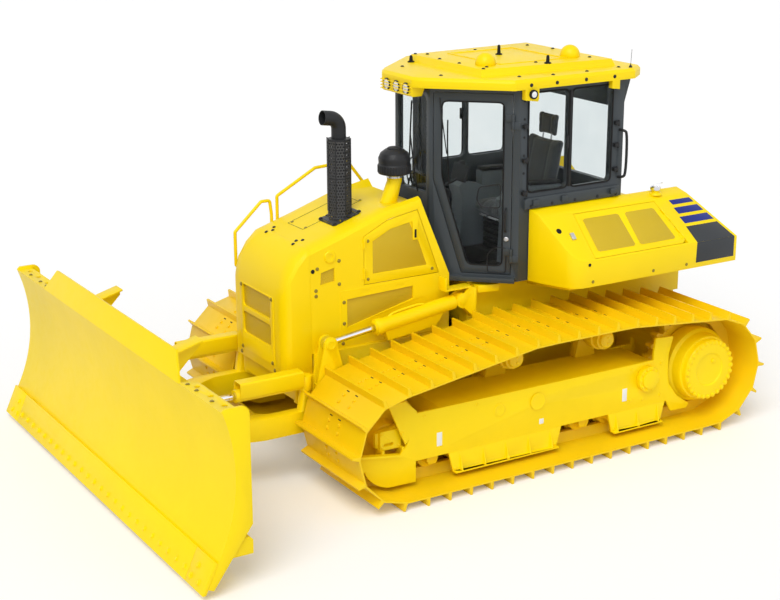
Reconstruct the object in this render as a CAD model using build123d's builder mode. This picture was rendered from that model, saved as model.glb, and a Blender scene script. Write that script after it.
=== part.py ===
from build123d import *
import math
import os

os.makedirs("parts", exist_ok=True)

# Crawler bulldozer with a wide-shoe undercarriage and a power-angle-tilt blade.
# Frame: forward is -Y, the machine's left is +X, up is +Z, millimetres.
# The origin lies on the ground under the middle of the machine's length and width.

# ---------------------------------------------------------------- driving dimensions
SEAT = 0.3                # clearance of a piece that seats on another
GAP = 5.0                 # seam round doors and beside moving pieces
RUN = 0.5                 # running clearance of pins, rods and shafts
# hood and nose
HOOD_HALF = 459.0
HOOD_FLAT = 330.0         # half width of the flat centre of the hood
HOOD_T = 12.0
NOSE_Y = -1388.0          # front face of the mask
HOOD_SPLIT = NOSE_Y + 258.0      # joint between mask and hood
HOOD_LOW = 1010.0         # lower edge of the hood
MASK_LOW = 840.0          # lower edge of the mask
# main frame
HULL_HALF = HOOD_HALF + 21.0     # outside of the frame rails, which carry the hood
HULL_FRONT = NOSE_Y + 98.0
HULL_LOW = 430.0
BODY_REAR = 2690.0        # rear face of the body
BODY_HALF = HULL_HALF + 40.0     # outside of the case under the cab
CASE_LOW = 980.0
DECK_Z = 1426.0           # top of the case, where cab and side boxes stand
ENGINE_HALF, ENGINE_LOW, ENGINE_TOP = 320.0, 750.0, 1550.0
ENGINE_FRONT, ENGINE_REAR = -1005.0, 55.0
# C-frame arms run between the frame rails and the tracks
ARM_IN = HULL_HALF + 30.0
ARM_OUT = ARM_IN + 100.0
ARM_LOW, ARM_TOP = 420.0, 600.0
TRUNNION = (100.0, 480.0)       # y, z of the C-frame's pivot
TRUNNION_R = 55.0
# undercarriage
SHOE_W = 915.0            # width of a track shoe
TRACK_X = ARM_OUT + 40.0 + SHOE_W / 2
LINK_PITCH = 203.2        # pin to pin along the chain
GROUSER_H = 65.0          # height of the grouser bar above the shoe plate
GROUSER_T = 18.0          # thickness of the bar at its tip
SHOE_T = 13.0             # thickness of the shoe plate
PIN_TO_SHOE = 45.0        # pin centre to the inner face of the shoe
PIN_TO_RAIL = 50.0        # pin centre to the rolling face of the link
RAIL_IN = 56.0            # half gap between the two rails of a chain
RAIL_W = 46.0             # width of one rail
IDLER_Y = -900.0          # idler centre
IDLER_R = 332.0           # rolling radius of the idler
SPROCKET_Y = 2255.0       # sprocket centre
SPROCKET_R = 427.0        # pitch radius of the sprocket
SPROCKET_TEETH = 25
ROLLER_R = 97.0           # rolling radius of a bottom roller
ROLLER_W = 250.0          # length of a bottom roller over its collars
ROLLERS = 8               # bottom rollers to a side
CARRIER_R = 98.0          # rolling radius of a carrier roller
CARRIER_Y = (335.0, 1279.0)
CARRIER_Z = 927.0         # centre height of the carrier rollers
FRAME_TOP = 700.0         # top of the track frames
SKIRT_LOW = 300.0         # lower edge of their side plates
FRAME_FRONT, FRAME_REAR = -540.0, 1500.0
PIVOT_Y, PIVOT_Z, PIVOT_R = 1640.0, 555.0, 85.0
EQUALIZER = (480.0, 571.0)      # y, z of the equalizer bar
# cab
CAB_FRONT_HALF = 270.0
CAB_FRONT_Y = 110.0
CAB_HALF = 790.0
CAB_PILLAR_Y = 660.0      # where the slanted door plane meets the straight side
CAB_REAR_Y = 1740.0
CAB_TOP = 3050.0
CAB_T = 55.0              # thickness of pillars and walls
SILL_Z = 2180.0           # lower edge of the side and rear windows
DOOR_T = 40.0
GLASS_T = 8.0
# side boxes
BOX_IN = CAB_HALF + 10.0
BOX_OUT = 1247.0
BOX_FOLD_X = 900.0
BOX_FOLD_Z = 2000.0
BOX_TOP = 2044.0
BOX_WAIST = 1650.0
BOX_FRONT_Y = 758.0
# cylinders
EYE_T = 54.0              # thickness of a rod's or barrel's eye
LUG_T = 20.0
ROD_R = 26.0
LIFT_X = ARM_OUT - 27.0
LIFT_EYE = (-1051.0, 1125.0)    # y, z of the rod eye with the blade parked
LIFT_PIN = (217.0, 1290.0)      # y, z of the rear pin
LIFT_PIN_R = 32.0
LIFT_BARREL = 837.0             # rear pin to the mouth of the barrel
LIFT_R = 62.0
ANGLE_X = ARM_IN + 60.0
ANGLE_Z = 830.0
ANGLE_R = 52.0
ANGLE_PIN_Y = -1262.0
ANGLE_MOUTH_Y = -1890.0
ANGLE_PIVOT_Y = -2330.0         # vertical axis of the blade angle
TILT_Z = 500.0                  # axis of the blade tilt
TILT_CYL_Z = 1065.0
TILT_Y = -2335.0
TILT_R = 48.0
TILT_PIN_X, TILT_PIN_R = 150.0, 28.0
TILT_EYE_X = -640.0
# blade
BLADE_HALF = 2100.0
BLADE_TOP = 1349.0
BLADE_LOW = 47.0
BLADE_TIP_Y = -2900.0
BLADE_BACK = -2490.0            # rear limit of the blade's own structure
BLADE_T = 20.0
EDGE_T = 27.0

CHAIN_Z = GROUSER_H + SHOE_T + PIN_TO_SHOE     # pitch line of the ground run
IDLER_PR = IDLER_R + PIN_TO_RAIL
IDLER_Z = CHAIN_Z + IDLER_PR
# links lie as chords on the round idler, so its rim is smaller by their sagitta
IDLER_RIM = math.sqrt(IDLER_PR ** 2 - (LINK_PITCH / 2) ** 2) - PIN_TO_RAIL - 2
SPROCKET_Z = CHAIN_Z + SPROCKET_R
ROLLER_Z = CHAIN_Z + PIN_TO_RAIL + ROLLER_R
FRAME_LOW = ROLLER_Z + ROLLER_R + 22           # underside of the track frame's beam
FRAME_OUT = TRACK_X + 240
FRAME_IN = TRACK_X - 235
SKIRT_T = 22.0
SIDES = (("left", 1), ("right", -1))


# ---------------------------------------------------------------- outlines
def section(points, mode=Mode.ADD):
    """Closed polygon face on the current sketch plane."""
    Polygon(*points, align=None, mode=mode)


def rounded(points, radius, mode=Mode.ADD):
    """Closed polygon face with all of its corners rounded."""
    face = Polygon(*points, align=None, mode=Mode.PRIVATE).face()
    add(face.fillet_2d(radius, face.vertices()), mode=mode)


def grown(points, d):
    """Convex outline moved outwards by d (inwards when d is negative)."""
    out, n = [], len(points)
    cx, cy = sum(p[0] for p in points) / n, sum(p[1] for p in points) / n
    for i in range(n):
        a, b, c = points[i - 1], points[i], points[(i + 1) % n]
        t1 = Vector(b[0] - a[0], b[1] - a[1]).normalized()
        t2 = Vector(c[0] - b[0], c[1] - b[1]).normalized()
        n1, n2 = Vector(t1.Y, -t1.X), Vector(t2.Y, -t2.X)
        if n1.dot(Vector(b[0] - cx, b[1] - cy)) < 0:
            n1, n2 = n1 * -1, n2 * -1
        m = (n1 + n2).normalized()
        k = d / m.dot(n1)
        out.append((b[0] + m.X * k, b[1] + m.Y * k))
    return out


def tangent_angle(centre, radius, point, turn):
    """Angle on a circle where the line to an outside point leaves it."""
    dy, dz = point[0] - centre[0], point[1] - centre[1]
    return math.atan2(dz, dy) + turn * math.acos(radius / math.hypot(dy, dz))


def chain_path():
    """Pitch line of the chain as (kind, data) pieces: bottom, front, top, rear."""
    idler, sprocket = (IDLER_Y, IDLER_Z), (SPROCKET_Y, SPROCKET_Z)
    lift = CARRIER_R + PIN_TO_RAIL
    c1, c2 = [(y, CARRIER_Z + lift) for y in CARRIER_Y]
    a1 = tangent_angle(idler, IDLER_PR, c1, 1)
    a2 = tangent_angle(sprocket, SPROCKET_R, c2, -1)
    t1 = (idler[0] + IDLER_PR * math.cos(a1), idler[1] + IDLER_PR * math.sin(a1))
    t2 = (sprocket[0] + SPROCKET_R * math.cos(a2), sprocket[1] + SPROCKET_R * math.sin(a2))
    return [
        ("arc", idler, IDLER_PR, 1.5 * math.pi, a1),
        ("line", t1, c1), ("line", c1, c2), ("line", c2, t2),
        ("arc", sprocket, SPROCKET_R, a2, -0.5 * math.pi),
        ("line", (SPROCKET_Y, CHAIN_Z), (IDLER_Y, CHAIN_Z)),
    ]


def chain_pins():
    """Pin centres, evenly spaced along the closed pitch line."""
    pieces, lengths = chain_path(), []
    for p in pieces:
        lengths.append(p[2] * abs(p[4] - p[3]) if p[0] == "arc" else math.dist(p[1], p[2]))
    total = sum(lengths)
    count = round(total / LINK_PITCH)
    pins = []
    for i in range(count):
        s = i * total / count
        for p, length in zip(pieces, lengths):
            if s <= length:
                break
            s -= length
        if p[0] == "arc":
            a = p[3] + (p[4] - p[3]) * s / length
            pins.append((p[1][0] + p[2] * math.cos(a), p[1][1] + p[2] * math.sin(a)))
        else:
            k = s / length
            pins.append(tuple(u + (v - u) * k for u, v in zip(p[1], p[2])))
    return pins


PINS = chain_pins()


def offset_loop(distance):
    """The closed polygon of pins, offset outwards (inwards when negative)."""
    out, n = [], len(PINS)
    for i in range(n):
        a, b, c = PINS[i - 1], PINS[i], PINS[(i + 1) % n]
        t1 = (Vector(b[0] - a[0], b[1] - a[1])).normalized()
        t2 = (Vector(c[0] - b[0], c[1] - b[1])).normalized()
        n1, n2 = Vector(-t1.Y, t1.X), Vector(-t2.Y, t2.X)
        m = (n1 + n2).normalized()
        k = distance / m.dot(n1)
        out.append((b[0] + m.X * k, b[1] + m.Y * k))
    return out


def shoe_outline():
    """Outer outline of the shoes: a flat plate with one grouser at its leading edge."""
    corners, pts = offset_loop(PIN_TO_SHOE + SHOE_T), []
    for i, c in enumerate(corners):
        d = corners[(i + 1) % len(corners)]
        t = Vector(d[0] - c[0], d[1] - c[1]).normalized()
        n = Vector(-t.Y, t.X)
        for along, up in ((0, 0), (4, GROUSER_H), (4 + GROUSER_T, GROUSER_H), (34, 0)):
            pts.append((c[0] + t.X * along + n.X * up, c[1] + t.Y * along + n.Y * up))
    return pts


# ---------------------------------------------------------------- tracks
for side, s in SIDES:
    x = s * TRACK_X
    with BuildPart() as track:
        with BuildSketch(Plane.YZ.offset(x - SHOE_W / 2)):
            section(shoe_outline())
            section(offset_loop(PIN_TO_SHOE), Mode.SUBTRACT)
        extrude(amount=SHOE_W)
        for rail in (-RAIL_IN - RAIL_W, RAIL_IN):
            with BuildSketch(Plane.YZ.offset(x + rail)):
                section(offset_loop(PIN_TO_SHOE))
                section(offset_loop(-PIN_TO_RAIL), Mode.SUBTRACT)
            extrude(amount=RAIL_W)
    track.part.label = f"track_{side}"
    export_step(track.part, f"parts/track_{side}.step")

# idlers: a rolling rim with a centre flange between the rails, on a dished web
IDLER_SHAFT = 58.0
IDLER_W = RAIL_IN + RAIL_W
IDLER_HALF_PROFILE = (  # from the middle outwards, radius
    (0, IDLER_RIM + 18), (RAIL_IN - 8, IDLER_RIM + 18), (RAIL_IN - 8, IDLER_RIM), (IDLER_W, IDLER_RIM),
    (IDLER_W, IDLER_RIM - 45), (34, IDLER_RIM - 75), (34, 130), (IDLER_W + 8, 105),
    (IDLER_W + 8, IDLER_SHAFT + RUN),
)
with BuildPart() as idlers:
    with BuildSketch(Plane.XY.offset(IDLER_Z)):
        profile = [(TRACK_X + dx, IDLER_Y - r) for dx, r in IDLER_HALF_PROFILE]
        profile += [(TRACK_X - dx, IDLER_Y - r) for dx, r in reversed(IDLER_HALF_PROFILE[1:])]
        section(profile)
    revolve(axis=Axis((0, IDLER_Y, IDLER_Z), (1, 0, 0)))
    mirror(about=Plane.YZ)
idlers.part.label = "idlers"
export_step(idlers.part, "parts/idlers.step")

# sprockets: a toothed ring between the rails, round the final drive's drum
DRUM_R = 300.0
TOOTH_ANGLE = 2 * math.pi / SPROCKET_TEETH
TOOTH = (  # share of the tooth's angle, radius from the pitch circle: root, flank, tip
    (0.0, -32), (0.30, -32), (0.40, -12), (0.54, 18), (0.60, 22), (0.76, 22), (0.82, 18), (0.94, -12),
)
with BuildPart() as sprockets:
    with BuildSketch(Plane.YZ.offset(TRACK_X)):
        pts = []
        for i in range(SPROCKET_TEETH):
            for share, r in TOOTH:
                a = (i + share) * TOOTH_ANGLE
                pts.append((SPROCKET_Y + (SPROCKET_R + r) * math.cos(a),
                            SPROCKET_Z + (SPROCKET_R + r) * math.sin(a)))
        section(pts)
        with Locations((SPROCKET_Y, SPROCKET_Z)):
            Circle(DRUM_R, mode=Mode.SUBTRACT)
    extrude(amount=RAIL_IN - 14, both=True)
    mirror(about=Plane.YZ)
sprockets.part.label = "sprockets"
export_step(sprockets.part, "parts/sprockets.step")

# final drives: a drum through the sprocket with a domed and bolted outer cover
FD_HUB_R = 267.0
FD_OUT = TRACK_X + 357.0
FD_PROFILE = (  # x, radius
    (HULL_HALF + SEAT, 250), (TRACK_X - RAIL_IN, 270), (TRACK_X - RAIL_IN, DRUM_R - RUN),
    (TRACK_X + RAIL_IN, DRUM_R - RUN), (TRACK_X + RAIL_IN, 330), (TRACK_X + 190, 330), (TRACK_X + 205, 300),
    (FD_OUT - 60, 285), (FD_OUT - 60, FD_HUB_R), (FD_OUT - 14, FD_HUB_R), (FD_OUT, FD_HUB_R - 14),
    (FD_OUT, 150), (FD_OUT - 12, 140), (FD_OUT - 12, 0),
)
with BuildPart() as final_drives:
    with BuildSketch(Plane.XY.offset(SPROCKET_Z)):
        section([(FD_PROFILE[0][0], SPROCKET_Y)] + [(x, SPROCKET_Y - r) for x, r in FD_PROFILE])
    revolve(axis=Axis((0, SPROCKET_Y, SPROCKET_Z), (1, 0, 0)))
    mirror(about=Plane.YZ)
final_drives.part.label = "final_drives"
export_step(final_drives.part, "parts/final_drives.step")

# bottom rollers: twin-tread spools whose fixed shafts hang in saddles under the frame's beam
FIRST_ROLLER = IDLER_Y + IDLER_RIM + 65
LAST_ROLLER = SPROCKET_Y - SPROCKET_R - 220
ROLLER_STEP = (LAST_ROLLER - FIRST_ROLLER) / (ROLLERS - 1)
ROLLER_Y = [FIRST_ROLLER + i * ROLLER_STEP for i in range(ROLLERS)]
TREAD_R = ROLLER_R - SEAT
ROLLER_END = ROLLER_W / 2 + 24
ROLLER_HALF_PROFILE = (  # from the middle outwards, radius
    (0, TREAD_R - 22), (RAIL_IN - 26, TREAD_R - 22), (RAIL_IN - 22, TREAD_R + 16),
    (RAIL_IN - 6, TREAD_R + 16), (RAIL_IN - 2, TREAD_R), (ROLLER_W / 2, TREAD_R), (ROLLER_W / 2, 62),
    (ROLLER_END, 50),
)
SADDLE_X = ROLLER_END - 2
with BuildPart() as track_rollers:
    for y in ROLLER_Y:
        with BuildSketch(Plane.XY.offset(ROLLER_Z)):
            profile = [(TRACK_X + dx, y - r) for dx, r in ROLLER_HALF_PROFILE]
            profile += [(TRACK_X + ROLLER_END, y), (TRACK_X - ROLLER_END, y)]
            section(profile + [(TRACK_X - dx, y - r) for dx, r in reversed(ROLLER_HALF_PROFILE[1:])])
        revolve(axis=Axis((0, y, ROLLER_Z), (1, 0, 0)))
        for x in (TRACK_X + SADDLE_X, TRACK_X - SADDLE_X - 56):
            with BuildSketch(Plane.YZ.offset(x)):
                section([(y - 52, FRAME_LOW - SEAT), (y - 52, ROLLER_Z - 8), (y - 34, ROLLER_Z - 46),
                         (y + 34, ROLLER_Z - 46), (y + 52, ROLLER_Z - 8), (y + 52, FRAME_LOW - SEAT)])
            extrude(amount=56)
    mirror(about=Plane.YZ)
track_rollers.part.label = "track_rollers"
export_step(track_rollers.part, "parts/track_rollers.step")

# carrier rollers on stands bolted to the track frame
STAND_W = 80.0
CARRIER_PROFILE = (  # x from the track's centre line, radius
    (RAIL_IN + RAIL_W + 50, 0), (RAIL_IN + RAIL_W + 50, 52), (RAIL_IN + RAIL_W + 38, 70),
    (RAIL_IN + RAIL_W + 8, 70), (RAIL_IN + RAIL_W + 8, CARRIER_R - 10), (RAIL_IN - 8, CARRIER_R - 10),
    (RAIL_IN - 8, CARRIER_R + 8), (8 - RAIL_IN, CARRIER_R + 8), (8 - RAIL_IN, CARRIER_R - 10),
    (-RAIL_IN - RAIL_W - 8, CARRIER_R - 10), (-RAIL_IN - RAIL_W - 8, 45),
    (FRAME_IN + STAND_W - TRACK_X - 4, 45), (FRAME_IN + STAND_W - TRACK_X - 4, 0),
)
with BuildPart() as carrier_rollers:
    for y in CARRIER_Y:
        with BuildSketch(Plane.XY.offset(CARRIER_Z)):
            section([(TRACK_X + dx, y - r) for dx, r in CARRIER_PROFILE])
        revolve(axis=Axis((0, y, CARRIER_Z), (1, 0, 0)))
        # stand: a foot on the frame and a split clamp round the shaft
        with BuildSketch(Plane.YZ.offset(FRAME_IN)):
            section([(y - 105, FRAME_TOP + SEAT), (y + 105, FRAME_TOP + SEAT), (y + 105, FRAME_TOP + 30),
                     (y + 68, CARRIER_Z - 30), (y + 60, CARRIER_Z + 58), (y - 60, CARRIER_Z + 58),
                     (y - 68, CARRIER_Z - 30), (y - 105, FRAME_TOP + 30)])
        extrude(amount=STAND_W)
    mirror(about=Plane.YZ)
carrier_rollers.part.label = "carrier_rollers"
export_step(carrier_rollers.part, "parts/carrier_rollers.step")

# track frames: box beam between side plates, with guards round the idler and under the drive
YOKE_IN = IDLER_W + 15.0
YOKE_T = 40.0
PLATE_REAR = 1880.0
BEARING_W, BEARING_H, BEARING_T = 190.0, 158.0, 34.0
SIDE_PLATE = [(-704.0, FRAME_TOP), (-704.0, 600.0), (-760.0, 500.0), (-787.0, 441.0), (-855.0, 372.0),
              (-801.0, 325.0), (-701.0, SKIRT_LOW), (PLATE_REAR, SKIRT_LOW), (PLATE_REAR, FRAME_TOP)]
SHELF = [(-1246.0, 455.0), (-852.0, 393.0), (-780.0, 325.0), (-701.0, 302.0), (-1202.0, 302.0)]
IDLER_GUARD = [(-948.0, 807.0), (-797.0, 819.0), (-690.0, 718.0), (-690.0, 590.0), (-794.0, 457.0)]
DRIVE_GUARD = [(1840.0, 760.0), (1880.0, 730.0), (1870.0, 600.0), (1900.0, 450.0), (1990.0, 330.0),
               (2139.0, 225.0), (2110.0, 190.0), (1930.0, 195.0), (1850.0, 345.0), (1840.0, 380.0)]
DRIVE_BRACKET = [(1713.0, 690.0), (1713.0, 762.0), (1731.0, 893.0), (1924.0, 880.0), (1882.0, 731.0),
                 (1879.0, 690.0)]
RUNNER_LOW = CHAIN_Z + 2
with BuildPart() as track_frames:
    with BuildSketch(Plane.YZ.offset(FRAME_IN)):
        section([(FRAME_FRONT, FRAME_LOW), (PIVOT_Y + PIVOT_R, FRAME_LOW), (PIVOT_Y + PIVOT_R + 60, PIVOT_Z),
                 (PIVOT_Y + PIVOT_R, FRAME_TOP - 15), (FRAME_REAR, FRAME_TOP), (FRAME_FRONT + 84, FRAME_TOP),
                 (FRAME_FRONT, FRAME_TOP - 130)])
    extrude(amount=FRAME_OUT - FRAME_IN)
    for x in (FRAME_IN, FRAME_OUT - SKIRT_T):
        with BuildSketch(Plane.YZ.offset(x)):
            section(SIDE_PLATE)
            section(SHELF)
            section(IDLER_GUARD)
            section(DRIVE_GUARD)
            if x > TRACK_X:
                section(DRIVE_BRACKET)
            # low guard outside the idler, curved like a runner
            with BuildLine():
                a = ThreePointArc((-1158, 283), (-1075, 186), (-946, 130))
                Polyline(a @ 1, (-699, RUNNER_LOW), (-699, 316), (-1165, 316), a @ 0)
            make_face()
        extrude(amount=SKIRT_T)
        # gussets that tie the guards to the idler's yoke
        for y in (IDLER_Y - 80, IDLER_Y + 100):
            with BuildSketch(Plane.XZ.offset(-y)):
                gusset = x + (SKIRT_T / 2 if x < TRACK_X else SKIRT_T / 2 - 98)
                section([(gusset, 320), (gusset + 98, 320), (gusset + 98, IDLER_Z - 70), (gusset, 440)]
                        if x < TRACK_X else
                        [(gusset, 320), (gusset + 98, 320), (gusset + 98, 440), (gusset, IDLER_Z - 70)])
            extrude(amount=20)
    # turned-out lip of the shelf on the outer side
    with BuildSketch(Plane.YZ.offset(FRAME_OUT - 1)):
        section([(-1246, 455), (-852, 393), (-855, 375), (-1243, 435)])
    extrude(amount=30)
    # box guard over the recoil spring's front end
    with BuildSketch(Plane.YZ.offset(TRACK_X - YOKE_IN)):
        section([(IDLER_Y + IDLER_RIM + 60, IDLER_Z - 40), (FRAME_FRONT + 1, IDLER_Z - 60),
                 (FRAME_FRONT + 1, IDLER_Z + 60), (IDLER_Y + IDLER_RIM + 60, IDLER_Z + 40)])
    extrude(amount=2 * YOKE_IN)
    for x in (TRACK_X - YOKE_IN - YOKE_T, TRACK_X + YOKE_IN):
        # yoke plate that carries the idler's shaft
        with BuildSketch(Plane.YZ.offset(x)):
            section([(IDLER_Y - 120, IDLER_Z - 60), (IDLER_Y + 90, IDLER_Z - 95),
                     (FRAME_FRONT + 1, IDLER_Z - 115), (FRAME_FRONT + 1, FRAME_TOP - 135),
                     (IDLER_Y + 90, IDLER_Z + 95), (IDLER_Y - 120, IDLER_Z + 60)])
        extrude(amount=YOKE_T)
    # bearing blocks of the shaft, each with a slot for its clamp
    for x in (TRACK_X + YOKE_IN + YOKE_T - 1, TRACK_X - YOKE_IN - YOKE_T + 1 - BEARING_T):
        with BuildSketch(Plane.YZ.offset(x)):
            with Locations((IDLER_Y, IDLER_Z)):
                RectangleRounded(BEARING_W, BEARING_H, 12)
            with Locations((IDLER_Y - 20, IDLER_Z - 35)):
                SlotOverall(90, 26, mode=Mode.SUBTRACT)
        extrude(amount=BEARING_T)
    with BuildSketch(Plane.YZ.offset(TRACK_X)):
        with Locations((IDLER_Y, IDLER_Z)):
            Circle(IDLER_SHAFT)
    extrude(amount=YOKE_IN + 30, both=True)
    # eye of the pivot shaft
    with BuildSketch(Plane.YZ.offset(FRAME_IN - 1)):
        with Locations((PIVOT_Y, PIVOT_Z)):
            Circle(PIVOT_R + RUN)
    extrude(amount=FRAME_OUT - FRAME_IN + 2, mode=Mode.SUBTRACT)
    # cover of the equalizer bar's pin on the outer side
    with BuildSketch(Plane.YZ.offset(FRAME_OUT - 1)):
        with Locations(EQUALIZER):
            Circle(34)
    extrude(amount=11)
    mirror(about=Plane.YZ)
track_frames.part.label = "track_frames"
export_step(track_frames.part, "parts/track_frames.step")

# roller guards: angle rails under the skirts, stiffened by triangular ribs
GUARDS = ((-386.0, 735.0), (1235.0, PLATE_REAR - 20.0))       # y from, y to
RIB_STEP = 225.0
with BuildPart() as roller_guards:
    for y0, y1 in GUARDS:
        for x, out in ((FRAME_IN, -1), (FRAME_OUT - SKIRT_T, 1)):
            with BuildSketch(Plane.YZ.offset(x)):
                section([(y0 + 45, RUNNER_LOW), (y1 - 45, RUNNER_LOW), (y1, SKIRT_LOW - SEAT),
                         (y0, SKIRT_LOW - SEAT)])
            extrude(amount=SKIRT_T)
            face = x + (SKIRT_T if out > 0 else 0)
            ribs = int((y1 - y0 - 120) // RIB_STEP)
            first = (y0 + y1 - ribs * RIB_STEP) / 2
            with BuildSketch(Plane.XY.offset(RUNNER_LOW)):
                with Locations((face + out * 19, (y0 + y1) / 2)):
                    Rectangle(40, y1 - y0 - 90)
            extrude(amount=14)
            for i in range(ribs + 1):
                with BuildSketch(Plane.XZ.offset(-(first + i * RIB_STEP) - 6)):
                    section([(face - out, RUNNER_LOW + 13), (face + out * 38, RUNNER_LOW + 13),
                             (face - out, SKIRT_LOW - 6)])
                extrude(amount=12)
    mirror(about=Plane.YZ)
roller_guards.part.label = "roller_guards"
export_step(roller_guards.part, "parts/roller_guards.step")

# pivot shaft: from the case through the eyes of the track frames, with end caps
PIVOT_CAP_R = 112.0
with BuildPart() as pivot_shaft:
    for x0, x1, r in ((HULL_HALF - 10, FRAME_OUT + SEAT, PIVOT_R),
                      (FRAME_OUT + SEAT, FRAME_OUT + 45, PIVOT_CAP_R), (FRAME_OUT + 44, FRAME_OUT + 65, 82)):
        with BuildSketch(Plane.YZ.offset(x0)):
            with Locations((PIVOT_Y, PIVOT_Z)):
                Circle(r)
        extrude(amount=x1 - x0)
    mirror(about=Plane.YZ)
pivot_shaft.part.label = "pivot_shaft"
export_step(pivot_shaft.part, "parts/pivot_shaft.step")

# ---------------------------------------------------------------- main frame
RAIL_T = 50.0
HULL_KINK = 300.0         # length of the bevel under the nose
TRUNNION_END = ARM_OUT + 12.0
LUG_TOP = 1395.0          # top of the lift cylinders' rear cheeks
with BuildPart() as main_frame:
    with BuildSketch(Plane.XY.offset(HULL_LOW)):
        with Locations((0, (HULL_FRONT + HULL_KINK + BODY_REAR) / 2)):
            Rectangle(2 * HULL_HALF, BODY_REAR - HULL_FRONT - HULL_KINK)
    extrude(amount=30)
    for s in (1, -1):
        with BuildSketch(Plane.YZ.offset(s * HULL_HALF - (RAIL_T if s > 0 else 0))):
            section([(HULL_FRONT, 620), (HULL_FRONT + HULL_KINK, HULL_LOW), (BODY_REAR - 30, HULL_LOW),
                     (BODY_REAR - 30, HOOD_LOW - SEAT), (HOOD_SPLIT + 15, HOOD_LOW - SEAT),
                     (HOOD_SPLIT + 15, MASK_LOW - SEAT), (HULL_FRONT, MASK_LOW - SEAT)])
            with Locations((PIVOT_Y, PIVOT_Z)):
                Circle(PIVOT_R + RUN, mode=Mode.SUBTRACT)
        extrude(amount=RAIL_T)
    # front cross member, engine mounts and equalizer bar
    with BuildSketch(Plane.XY.offset(640)):
        with Locations((0, HULL_FRONT + 60)):
            Rectangle(2 * HULL_HALF - 2, 120)
    extrude(amount=MASK_LOW - 20 - 640)
    for y in (ENGINE_FRONT + 90, ENGINE_REAR - 90):
        with BuildSketch(Plane.XZ.offset(-y - 50)):
            section([(-HULL_HALF + 20, 560), (HULL_HALF - 20, 560), (HULL_HALF - 20, ENGINE_LOW - 60),
                     (ENGINE_HALF, ENGINE_LOW - SEAT), (-ENGINE_HALF, ENGINE_LOW - SEAT),
                     (-HULL_HALF + 20, ENGINE_LOW - 60)])
        extrude(amount=100)
    with BuildSketch(Plane.YZ.offset(-FRAME_IN + SEAT)):
        with Locations(EQUALIZER):
            RectangleRounded(130, 140, 20)
    extrude(amount=2 * (FRAME_IN - SEAT))
    # case under the cab and rear case
    with BuildSketch(Plane.YZ.offset(-BODY_HALF)):
        section([(330, CASE_LOW + 30), (430, CASE_LOW), (BODY_REAR, CASE_LOW), (BODY_REAR, DECK_Z),
                 (330, DECK_Z)])
    extrude(amount=2 * BODY_HALF)
    with BuildSketch(Plane.YZ.offset(-HULL_HALF + 20)):
        section([(700, HULL_LOW + 10), (BODY_REAR, HULL_LOW + 10), (BODY_REAR, CASE_LOW + 20),
                 (700, CASE_LOW + 20)])
        with Locations((PIVOT_Y, PIVOT_Z)):
            Circle(PIVOT_R + RUN, mode=Mode.SUBTRACT)
    extrude(amount=2 * HULL_HALF - 40)
    # brackets under the side boxes
    for y in (BOX_FRONT_Y + 250, BODY_REAR - 250):
        with BuildSketch(Plane.XZ.offset(-y - 45)):
            section([(-BOX_OUT + 140, DECK_Z - SEAT), (-BOX_OUT + 140, DECK_Z - 45),
                     (-BODY_HALF + 1, DECK_Z - 130), (BODY_HALF - 1, DECK_Z - 130),
                     (BOX_OUT - 140, DECK_Z - 45), (BOX_OUT - 140, DECK_Z - SEAT)])
        extrude(amount=90)
    for s in (1, -1):
        # trunnion pins of the C-frame
        with BuildSketch(Plane.YZ.offset(s * (HULL_HALF - 10))):
            with Locations(TRUNNION):
                Circle(TRUNNION_R)
        extrude(amount=s * (TRUNNION_END - HULL_HALF + 10))
        with BuildSketch(Plane.YZ.offset(s * HULL_HALF)):
            with Locations(TRUNNION):
                Circle(TRUNNION_R + 45)
        extrude(amount=s * (ARM_IN - HULL_HALF - GAP))
        # rear-pin brackets of the lift cylinders: two cheeks, the pin and a gusset to the case
        for off in (-EYE_T / 2 - GAP - LUG_T, EYE_T / 2 + GAP):
            with BuildSketch(Plane.YZ.offset(s * LIFT_X + (off if s > 0 else -off - LUG_T))):
                with BuildLine():
                    y, z = LIFT_PIN
                    a = ThreePointArc((y + 20, z + 62), (y - 62, z + 6), (y + 10, z - 62))
                    Polyline(a @ 1, (345, 1120), (345, LUG_TOP), (y + 60, LUG_TOP), a @ 0)
                make_face()
            extrude(amount=LUG_T)
        # angle bracket for hoses on top of the cheeks
        with BuildSketch(Plane.YZ.offset(s * LIFT_X - s * 52)):
            section([(40, LUG_TOP - 1), (300, LUG_TOP - 1), (300, LUG_TOP + 12), (52, LUG_TOP + 12),
                     (52, LUG_TOP + 115), (40, LUG_TOP + 115)])
        extrude(amount=s * 104)
        with BuildSketch(Plane.YZ.offset(s * (LIFT_X - EYE_T / 2 - GAP - LUG_T - 3))):
            with Locations(LIFT_PIN):
                Circle(LIFT_PIN_R)
        extrude(amount=s * (EYE_T + 2 * GAP + 2 * LUG_T + 8))
        with BuildSketch(Plane.XY.offset(1120)):
            with Locations((s * (BODY_HALF + LIFT_X + EYE_T / 2 + GAP + LUG_T) / 2, 340)):
                Rectangle(LIFT_X + EYE_T / 2 + GAP + LUG_T - BODY_HALF + 4, 24)
        extrude(amount=255)
        # step and its bracket below the cab door
        with BuildSketch(Plane.XY.offset(DECK_Z - 90)):
            section([(s * (BODY_HALF - 1), 372), (s * (BODY_HALF - 1), 560), (s * (BODY_HALF + 150), 560),
                     (s * (BODY_HALF + 110), 372)])
        extrude(amount=60)
main_frame.part.label = "main_frame"
export_step(main_frame.part, "parts/main_frame.step")

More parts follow.
